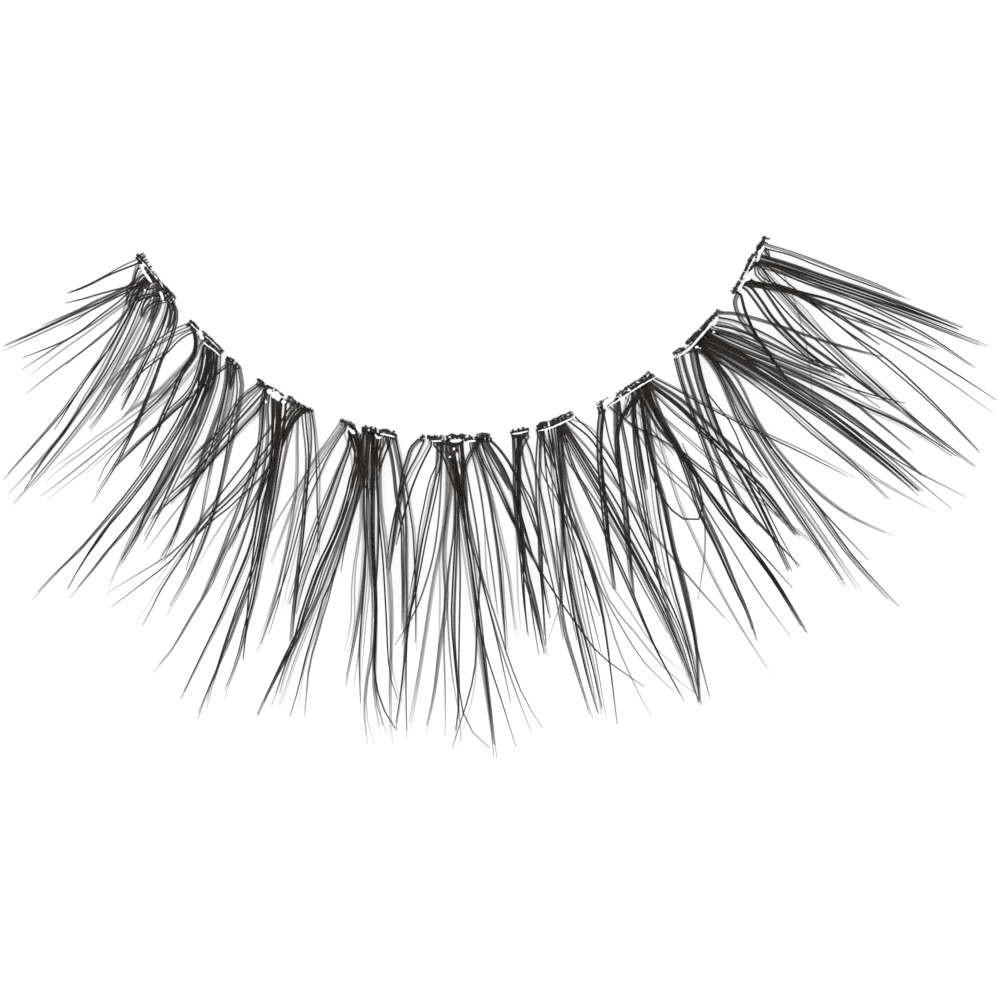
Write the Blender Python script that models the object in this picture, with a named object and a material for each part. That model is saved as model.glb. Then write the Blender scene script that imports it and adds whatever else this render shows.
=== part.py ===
"""False eyelash strip: a clear curved band that carries nine knotted clusters of lashes.

Metres, +Z up. The strip lies on its glue face, with its tips curling up. The origin is the middle
of the band's underside. +X runs to the right end, and the lashes point outward, the middle ones
along -Y. The band's arc has its centre on +Y.
"""

import math
from collections import namedtuple

import bmesh
import bpy
from mathutils import Vector

PART_NAME = "false_eyelash_strip"

# The clear band
BAND_RADIUS = 0.0146
BAND_LENGTH = 0.0330
BAND_WIDTH = 0.00030
BAND_THICKNESS = 0.00018
BAND_ARC_POINTS = 41
BAND_END_POINTS = 5

# The stretch of the band that carries clusters, end to end
LASH_LINE_LENGTH = 0.0322

# Knot bars: each straddles the band, open below
BAR_CLEARANCE = 0.00004
BAR_TOP_WALL = 0.00016
BAR_INNER_WALL = 0.00010
BAR_OUTER_WALL = 0.00030
KNOT_PITCH = 0.00044
KNOT_RISE = 0.00007
NECK_SHARE = 0.45

# Lashes, drawn together into tapered locks
LASH_LENGTH = 0.0133
CURL_HEIGHT = 0.0046
TOUCH_OUT = 0.0034
LOCK_ROOT_RADIUS = 0.00012
LOCK_TIP_RADIUS = 0.00004
LOCK_SECTIONS = 7
LOCK_SIDES_RESOLUTION = 1
LOCK_INSET = 0.00018

# Neighbouring clusters cross, so every second one lies a layer higher
LAYER_CLEARANCE = 0.00008
LAYER_LIFT_OUT = 0.00060

# Points nearer to each other than this are welded
WELD_DISTANCE = 0.0000005

# Colours
HAIR_COLOUR = (0.022, 0.018, 0.016, 1.0)
BAND_COLOUR = (0.90, 0.91, 0.92, 1.0)

# start, end: shares of the lash line from its left end. neck: share of the bar where it slims, or
# None. layer: 0 on the floor, 1 above. waist_lean: degrees from the outward direction, + to the
# right, of the point where the fan gathers. waist_out: its distance, a share of LASH_LENGTH.
Cluster = namedtuple("Cluster", "start end neck layer waist_lean waist_out locks")

# root: share of the bar. lean: degrees from the outward direction at the bar's middle to the tip.
# reach: distance from there to the tip, a share of LASH_LENGTH. gather: how far the lock is drawn
# to the waist, from 0, straight out of the bar, to 1. A negative one bows away from the waist.
Lock = namedtuple("Lock", "root lean reach gather")

CLUSTERS = [
    Cluster(0.000, 0.080, None, 0, 20, 0.12, [
        Lock(0.10, -24, 0.29, -0.4),
        Lock(0.16, -10, 0.54, -0.3),
        Lock(0.30, -1, 0.50, 0.0),
        Lock(0.44, 7, 0.56, 0.2),
        Lock(0.56, 19, 0.80, 0.5),
        Lock(0.68, 24, 0.86, 0.7),
        Lock(0.80, 28, 0.72, 0.7),
        Lock(0.92, 41, 0.73, 0.3),
    ]),
    Cluster(0.110, 0.196, 0.70, 1, 30, 0.15, [
        Lock(0.06, -18, 0.43, -0.4),
        Lock(0.14, -8, 0.70, 0.0),
        Lock(0.25, -3, 0.74, 0.4),
        Lock(0.36, 9, 0.98, 0.9),
        Lock(0.46, 15, 0.91, 1.0),
        Lock(0.56, 21, 0.84, 1.0),
        Lock(0.10, 15, 0.45, 0.3),
        Lock(0.84, -2, 0.51, 0.6),
        Lock(0.88, 21, 0.70, 0.4),
        Lock(0.95, 26, 0.86, 0.0),
    ]),
    Cluster(0.226, 0.308, None, 0, 12, 0.13, [
        Lock(0.05, -21, 0.56, -0.2),
        Lock(0.16, -13, 0.83, 0.3),
        Lock(0.28, -4, 0.84, 0.6),
        Lock(0.38, 3, 0.96, 0.8),
        Lock(0.48, 9, 1.00, 0.9),
        Lock(0.56, 13, 1.03, 1.0),
        Lock(0.66, 17, 0.95, 0.9),
        Lock(0.76, 22, 0.80, 0.6),
        Lock(0.88, 28, 0.77, 0.3),
        Lock(0.95, 42, 0.44, 0.0),
    ]),
    Cluster(0.341, 0.420, None, 1, 13, 0.14, [
        Lock(0.05, -14, 0.78, -0.2),
        Lock(0.20, -7, 0.93, 0.3),
        Lock(0.34, -2, 0.92, 0.8),
        Lock(0.46, 9, 0.82, 1.0),
        Lock(0.56, 13, 0.96, 1.0),
        Lock(0.66, 18, 0.98, 0.9),
        Lock(0.80, 21, 0.88, 0.5),
        Lock(0.94, 28, 0.62, 0.0),
    ]),
    Cluster(0.451, 0.548, None, 0, 0, 0.18, [
        Lock(0.03, -28, 0.46, -0.3),
        Lock(0.16, -18, 0.69, 0.2),
        Lock(0.27, -10, 0.94, 0.5),
        Lock(0.37, -4, 0.93, 0.8),
        Lock(0.47, -1, 0.96, 1.0),
        Lock(0.56, 5, 1.01, 1.0),
        Lock(0.66, 9, 0.97, 0.8),
        Lock(0.76, 14, 0.95, 0.6),
        Lock(0.87, 15, 0.66, 0.2),
        Lock(0.96, 21, 0.73, 0.0),
    ]),
    Cluster(0.570, 0.659, 0.32, 1, -8, 0.15, [
        Lock(0.06, -18, 0.70, 0.0),
        Lock(0.20, -12, 0.74, 0.2),
        Lock(0.45, -17, 0.69, 0.3),
        Lock(0.54, -6, 0.96, 1.0),
        Lock(0.62, -3, 0.98, 1.0),
        Lock(0.72, 4, 0.88, 0.6),
        Lock(0.82, 9, 0.97, 0.3),
        Lock(0.92, 13, 0.97, 0.0),
    ]),
    Cluster(0.689, 0.768, None, 0, 10, 0.11, [
        Lock(0.05, -31, 0.69, 0.0),
        Lock(0.22, -22, 0.84, 0.2),
        Lock(0.40, -16, 1.01, 0.6),
        Lock(0.52, -10, 0.74, 0.9),
        Lock(0.62, -3, 0.98, 1.0),
        Lock(0.74, 5, 0.94, 0.7),
        Lock(0.84, 14, 0.78, 0.3),
        Lock(0.94, 38, 0.76, -0.1),
    ]),
    Cluster(0.803, 0.886, None, 1, 18, 0.14, [
        Lock(0.05, -31, 0.66, 0.0),
        Lock(0.18, -22, 0.80, 0.0),
        Lock(0.32, -13, 0.95, 0.3),
        Lock(0.44, -4, 0.98, 0.8),
        Lock(0.54, 4, 0.90, 1.0),
        Lock(0.62, 10, 0.93, 1.0),
        Lock(0.72, 14, 0.98, 0.9),
        Lock(0.83, 19, 0.92, 0.4),
        Lock(0.94, 38, 0.60, 0.0),
    ]),
    Cluster(0.917, 1.000, None, 0, 16, 0.12, [
        Lock(0.06, -30, 0.38, 0.0),
        Lock(0.24, -20, 0.66, 0.3),
        Lock(0.38, -11, 0.93, 0.5),
        Lock(0.52, 0, 0.90, 0.8),
        Lock(0.64, 5, 0.80, 1.0),
        Lock(0.76, 11, 0.80, 0.8),
        Lock(0.86, 15, 0.70, 0.5),
        Lock(0.95, 18, 0.49, 0.0),
    ]),
]


def clear_scene():
    """Remove whatever the file starts with."""
    for obj in list(bpy.data.objects):
        bpy.data.objects.remove(obj, do_unlink=True)


def make_collection(name):
    """Add a collection to the scene."""
    collection = bpy.data.collections.new(name)
    bpy.context.scene.collection.children.link(collection)
    return collection


def make_material(name, colour, roughness):
    """Plain Principled material for one sub-part."""
    material = bpy.data.materials.new(name)
    material.use_nodes = True
    shader = material.node_tree.nodes["Principled BSDF"]
    shader.inputs["Base Color"].default_value = colour
    shader.inputs["Roughness"].default_value = roughness
    return material


def add_object(name, mesh, collection, material=None):
    """Link a mesh under a name, with its material."""
    obj = bpy.data.objects.new(name, mesh)
    collection.objects.link(obj)
    if material:
        mesh.materials.clear()
        mesh.materials.append(material)
    return obj


def arc_angle(along):
    """Angle about the arc's centre of a place on the band, from its middle, + to the right."""
    return along / BAND_RADIUS


def lash_line(share):
    """Distance along the band, from its middle, of a share of the lash line."""
    return (share - 0.5) * LASH_LINE_LENGTH


def outward(angle):
    """Unit direction from the arc's centre, in plan."""
    return Vector((math.sin(angle), -math.cos(angle)))


def rightward(angle):
    """Unit direction along the band to its right end, in plan."""
    return Vector((math.cos(angle), math.sin(angle)))


def plan_point(angle, out):
    """Point in plan at an angle about the arc's centre and a distance out from the band."""
    return Vector((0.0, BAND_RADIUS)) + outward(angle) * (BAND_RADIUS + out)


def out_from_band(point):
    """How far out from the band's middle line a plan point lies."""
    return (point - Vector((0.0, BAND_RADIUS))).length - BAND_RADIUS


def mix(first, second, share):
    """Straight mix of two numbers or vectors."""
    return first * (1.0 - share) + second * share


def smooth(share):
    """Smooth step from 0 to 1."""
    share = min(max(share, 0.0), 1.0)
    return share * share * (3.0 - 2.0 * share)


# Sizes that several pieces share
SLOT_HALF = BAND_WIDTH / 2 + BAR_CLEARANCE
SLOT_HEIGHT = BAND_THICKNESS + BAR_CLEARANCE
BAR_HEIGHT = SLOT_HEIGHT + BAR_TOP_WALL
ROOT_OUT = SLOT_HALF + BAR_OUTER_WALL / 2
ROOT_HEIGHT = BAR_HEIGHT / 2
LAYER_STEP = 2 * LOCK_ROOT_RADIUS + LAYER_CLEARANCE


def lash_height(out, layer):
    """Height of a lash over the floor, from how far out it is: down to the floor, then up."""
    lowest = LOCK_ROOT_RADIUS
    if out < TOUCH_OUT:
        height = lowest + (ROOT_HEIGHT - lowest) * (1.0 - out / TOUCH_OUT) ** 2
    else:
        height = lowest + CURL_HEIGHT * ((out - TOUCH_OUT) / (LASH_LENGTH - TOUCH_OUT)) ** 2
    return height + layer * LAYER_STEP * smooth((out - ROOT_OUT) / LAYER_LIFT_OUT)


def build_band(collection, material):
    """Clear band: a filled outline along the arc with round ends, extruded."""
    half = arc_angle(BAND_LENGTH / 2 - BAND_WIDTH / 2)
    side = BAND_WIDTH / 2
    outline = []
    for step in range(BAND_ARC_POINTS):
        angle = mix(-half, half, step / (BAND_ARC_POINTS - 1))
        outline.append(plan_point(angle, side))
    outline += band_end(half, 1.0)
    for step in range(BAND_ARC_POINTS):
        angle = mix(half, -half, step / (BAND_ARC_POINTS - 1))
        outline.append(plan_point(angle, -side))
    outline += band_end(-half, -1.0)

    curve = bpy.data.curves.new("band_outline", "CURVE")
    curve.dimensions = "2D"
    curve.fill_mode = "BOTH"
    curve.extrude = BAND_THICKNESS / 2
    spline = curve.splines.new("POLY")
    spline.points.add(len(outline) - 1)
    for point, place in zip(spline.points, outline):
        point.co = (place.x, place.y, 0.0, 1.0)
    spline.use_cyclic_u = True
    mesh = mesh_of_curve(curve, "clear_band")
    for vertex in mesh.vertices:
        vertex.co.z += BAND_THICKNESS / 2
    return add_object("clear_band", mesh, collection, material)


def band_end(angle, sign):
    """Points of the half circle that rounds one end of the band, between its two sides."""
    middle = plan_point(angle, 0.0)
    points = []
    for step in range(1, BAND_END_POINTS):
        turn = math.pi * step / BAND_END_POINTS
        across = outward(angle) * math.cos(turn) * sign
        along = rightward(angle) * math.sin(turn) * sign
        points.append(middle + (across + along) * BAND_WIDTH / 2)
    return points


def mesh_of_curve(curve, name):
    """Turn a curve into a closed mesh, with its caps welded."""
    carrier = bpy.data.objects.new(name + "_curve", curve)
    bpy.context.scene.collection.objects.link(carrier)
    bpy.context.view_layer.update()
    graph = bpy.context.evaluated_depsgraph_get()
    mesh = bpy.data.meshes.new_from_object(carrier.evaluated_get(graph))
    bpy.data.objects.remove(carrier, do_unlink=True)
    mesh.name = name
    work = bmesh.new()
    work.from_mesh(mesh)
    bmesh.ops.remove_doubles(work, verts=work.verts, dist=WELD_DISTANCE)
    bmesh.ops.recalc_face_normals(work, faces=work.faces)
    work.to_mesh(mesh)
    work.free()
    return mesh


def bar_section(bulge):
    """Section of a knot bar, as out and height: an arch over the band, open below."""
    inner = SLOT_HALF + BAR_INNER_WALL + KNOT_RISE * bulge
    outer = SLOT_HALF + BAR_OUTER_WALL
    top = BAR_HEIGHT + KNOT_RISE * bulge
    return [
        (-inner, 0.0),
        (-inner, top),
        (outer, BAR_HEIGHT),
        (outer, 0.0),
        (SLOT_HALF, 0.0),
        (SLOT_HALF, SLOT_HEIGHT),
        (-SLOT_HALF, SLOT_HEIGHT),
        (-SLOT_HALF, 0.0),
    ]


def build_bar(cluster, name):
    """Knot bar: the arch section swept along the band, swelling at each knot."""
    start = lash_line(cluster.start)
    length = lash_line(cluster.end) - start
    knots = max(2, round(length / KNOT_PITCH))
    stations = 2 * knots + 1
    work = bmesh.new()
    rings = []
    for station in range(stations):
        share = station / (stations - 1)
        bulge = station % 2
        if cluster.neck and abs(share - cluster.neck) < 1.0 / knots:
            bulge = -NECK_SHARE
        angle = arc_angle(start + share * length)
        ring = []
        for out, height in bar_section(bulge):
            place = plan_point(angle, out)
            ring.append(work.verts.new((place.x, place.y, height)))
        rings.append(ring)
    corners = len(rings[0])
    for first, second in zip(rings, rings[1:]):
        for corner in range(corners):
            after = (corner + 1) % corners
            work.faces.new((first[corner], first[after], second[after], second[corner]))
    # Each end of the arch is closed by its inner leg, its top and its outer leg
    for ring in (rings[0], rings[-1]):
        work.faces.new((ring[0], ring[1], ring[6], ring[7]))
        work.faces.new((ring[1], ring[2], ring[5], ring[6]))
        work.faces.new((ring[2], ring[3], ring[4], ring[5]))
    bmesh.ops.recalc_face_normals(work, faces=work.faces)
    mesh = bpy.data.meshes.new(name)
    work.to_mesh(mesh)
    work.free()
    return mesh


def lock_path(cluster, lock):
    """Centre line of a lock in plan: out of the bar, drawn to the waist, then on to its tip."""
    start = lash_line(cluster.start)
    length = lash_line(cluster.end) - start
    middle_angle = arc_angle(start + length / 2)
    middle = plan_point(middle_angle, 0.0)
    along = mix(start + LOCK_INSET, start + length - LOCK_INSET, lock.root)
    root = plan_point(arc_angle(along), ROOT_OUT)

    waist_out = cluster.waist_out * LASH_LENGTH
    waist = middle + lean_direction(middle_angle, cluster.waist_lean) * waist_out
    straight = plan_point(arc_angle(along), waist_out)
    control = mix(straight, waist, lock.gather)
    tip = middle + lean_direction(middle_angle, lock.lean) * lock.reach * LASH_LENGTH

    points = []
    for section in range(LOCK_SECTIONS):
        share = section / (LOCK_SECTIONS - 1)
        points.append(mix(mix(root, control, share), mix(control, tip, share), share))
    return points


def lean_direction(angle, lean):
    """Unit direction in plan, leaning from the outward one by some degrees to the right."""
    turn = math.radians(lean)
    return outward(angle) * math.cos(turn) + rightward(angle) * math.sin(turn)


def build_lock(cluster, lock, name):
    """One lock: a tapered tube with filled caps along its path."""
    points = lock_path(cluster, lock)
    curve = bpy.data.curves.new(name, "CURVE")
    curve.dimensions = "3D"
    curve.bevel_depth = LOCK_ROOT_RADIUS
    curve.bevel_resolution = LOCK_SIDES_RESOLUTION
    curve.use_fill_caps = True
    spline = curve.splines.new("POLY")
    spline.points.add(len(points) - 1)
    for index, (point, place) in enumerate(zip(spline.points, points)):
        share = index / (len(points) - 1)
        height = lash_height(out_from_band(place), cluster.layer)
        point.co = (place.x, place.y, height, 1.0)
        point.radius = mix(1.0, LOCK_TIP_RADIUS / LOCK_ROOT_RADIUS, share)
    return mesh_of_curve(curve, name)


def fuse(target, mesh, cutters):
    """Fuse a closed mesh into the target, in place."""
    tool = add_object("fuse_" + mesh.name, mesh, cutters)
    tool.hide_render = True
    tool.display_type = "WIRE"
    modifier = target.modifiers.new("fuse", "BOOLEAN")
    modifier.operation = "UNION"
    modifier.solver = "EXACT"
    modifier.object = tool
    bpy.context.view_layer.update()
    graph = bpy.context.evaluated_depsgraph_get()
    fused = bpy.data.meshes.new_from_object(target.evaluated_get(graph))
    target.modifiers.clear()
    target.data = fused
    bpy.data.objects.remove(tool, do_unlink=True)


def build_cluster(number, cluster, collection, cutters, material):
    """One cluster: its knot bar with every lock fused to it."""
    name = f"lash_cluster_{number}"
    target = add_object(name, build_bar(cluster, name), collection, material)
    for index, lock in enumerate(cluster.locks):
        fuse(target, build_lock(cluster, lock, f"{name}_lock_{index}"), cutters)
    target.data.name = name
    target.data.materials.clear()
    target.data.materials.append(material)
    return target


def main():
    """Build the whole strip."""
    clear_scene()
    collection = make_collection(PART_NAME)
    cutters = make_collection("cutters")
    cutters.hide_render = True
    band_material = make_material("clear_band", BAND_COLOUR, 0.2)
    hair_material = make_material("lash_hair", HAIR_COLOUR, 0.5)
    build_band(collection, band_material)
    for number, cluster in enumerate(CLUSTERS, start=1):
        build_cluster(number, cluster, collection, cutters, hair_material)


main()
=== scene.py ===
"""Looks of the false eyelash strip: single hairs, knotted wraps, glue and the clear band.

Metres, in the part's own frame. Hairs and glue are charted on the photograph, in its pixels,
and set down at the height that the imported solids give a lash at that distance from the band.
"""
import math
import random
from collections import namedtuple

import bmesh
import bpy
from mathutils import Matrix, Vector


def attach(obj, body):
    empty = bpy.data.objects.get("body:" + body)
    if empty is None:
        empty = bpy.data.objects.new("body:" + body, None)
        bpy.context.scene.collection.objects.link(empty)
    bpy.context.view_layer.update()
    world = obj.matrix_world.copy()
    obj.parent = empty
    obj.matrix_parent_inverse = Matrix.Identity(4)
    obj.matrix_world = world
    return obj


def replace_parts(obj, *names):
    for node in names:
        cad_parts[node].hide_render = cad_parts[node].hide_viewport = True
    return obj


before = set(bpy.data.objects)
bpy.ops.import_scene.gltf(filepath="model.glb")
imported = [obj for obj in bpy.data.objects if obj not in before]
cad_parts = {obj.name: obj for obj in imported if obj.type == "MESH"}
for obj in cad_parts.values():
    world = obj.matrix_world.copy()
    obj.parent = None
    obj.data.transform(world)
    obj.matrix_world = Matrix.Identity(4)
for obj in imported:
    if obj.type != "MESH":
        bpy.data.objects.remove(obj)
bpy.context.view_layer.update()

# The photograph: its scale on the floor, where the part's origin lies in it and how far it is turned
PHOTO_SIZE = 1000
PIXELS_PER_METRE = 24000.0
ORIGIN_PIXEL = (458.2, 438.9)
PHOTO_TURN = math.radians(1.5)
PIXEL = 1.0 / PIXELS_PER_METRE

FULL_TURN = 2.0 * math.pi
MILLIMETRES = 1000.0

# The camera looks straight down through a long lens
LENS = 300.0
SENSOR = 36.0
CAMERA_HEIGHT = PHOTO_SIZE * PIXEL * LENS / SENSOR

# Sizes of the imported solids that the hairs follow
BAND_RADIUS = 0.0146
LASH_LINE_LENGTH = 0.0322
LASH_LENGTH = 0.0133
CURL_HEIGHT = 0.0046
TOUCH_OUT = 0.0034
LOWEST = 0.00012
ROOT_OUT = 0.00034
ROOT_HEIGHT = 0.00019
LAYER_STEP = 0.00032
LAYER_LIFT_OUT = 0.00060

# Single hairs. Their stations crowd towards the root, where they bend most
HAIR_RADIUS = 0.000038
RADIUS_SPREAD = 0.15
HAIR_STATIONS = 18
ROOT_CROWDING = 1.25
HAIR_SIDES = 5
HAIR_TIP_SHARE = 0.70
TAPER_START = 0.75
ROOT_INSIDE = 0.00004
LIFT_SPREAD = 0.00012
LENGTH_SPREAD = 0.05

# How hairs lie in their strand: the shuffles are shares of its width, the side jitter is in pixels
SPREAD_SCALE = 1.12
MIDDLE_SHUFFLE = 0.08
TIP_SHUFFLE = 0.3
SIDE_JITTER = 0.22
JITTER_WAVE = 9.0
JITTER_ONSET = 4.0

# Wraps: short hairs that arch over the band under the ties. Their pitch is in pixels
WRAP_PITCH = 5.0
WRAP_PITCH_SPREAD = 0.3
WRAP_HALF = 0.00014
WRAP_HALF_SPREAD = (0.96, 1.10)
WRAP_FOOT = LOWEST / 3
WRAP_HEIGHT = 0.00023
WRAP_ROUNDNESS = 0.6
WRAP_SLANT = 0.00012
WRAP_POINTS = 7

# Ties: hairs knotted along the top of the band. Their step and their wave are in pixels
TIE_HEIGHT = 0.00028
TIE_STEP = 1.6
TIE_WAVE = 0.35
TIE_TURNS = 0.11
TIE_TONE = 0.6

# Beads of glue drawn out along the bars, white as a painted highlight: steps in pixels, swell and end width
# as shares of the width
GLUE_HEIGHT = 0.00029
GLUE_STEP = 2.4
GLUE_SIDES = 8
GLUE_SWELL = (0.7, 1.1)
GLUE_END_WIDTH = 0.35
GLUE_END_RUN = 6.0

# Drops of glue, and nicks: the small drops between the knots, white as painted highlights, with their
# length and width in pixels
DROP_HEIGHT = 0.00030
DROP_SUBDIVISIONS = 3
DROP_FLATNESS = 0.5
DROP_BUMP = 0.22
DROP_BUMP_WAVES = (4.0, 3.0)
NICK_PITCH = 0.00040
NICK_PITCH_SPREAD = 0.2
NICK_CHANCE = 0.3
NICK_OUT = -0.00009
NICK_STRAY = 0.00004
NICK_LENGTH = 3.4
NICK_LENGTH_SPREAD = (0.6, 1.1)
NICK_WIDTH = 1.8

# start, end: shares of the lash line. layer: 0 on the floor, 1 above
Cluster = namedtuple("Cluster", "start end layer")

CLUSTERS = {
    1: Cluster(0.000, 0.080, 0),
    2: Cluster(0.110, 0.196, 1),
    3: Cluster(0.226, 0.308, 0),
    4: Cluster(0.341, 0.420, 1),
    5: Cluster(0.451, 0.548, 0),
    6: Cluster(0.570, 0.659, 1),
    7: Cluster(0.689, 0.768, 0),
    8: Cluster(0.803, 0.886, 1),
    9: Cluster(0.917, 1.000, 0),
}

# A bundle of hairs that run side by side. widths: of the bundle at its root, middle and tip. path:
# what its middle passes through, from root to tip. Both in pixels of the photograph
Strand = namedtuple("Strand", "hairs widths path")


def bundle(hairs, widths, *path):
    """Chart row of hairs that run side by side."""
    return Strand(hairs, widths, path)


def single(*path):
    """Chart row of one hair."""
    return Strand(1, (0, 0, 0), path)


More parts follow.
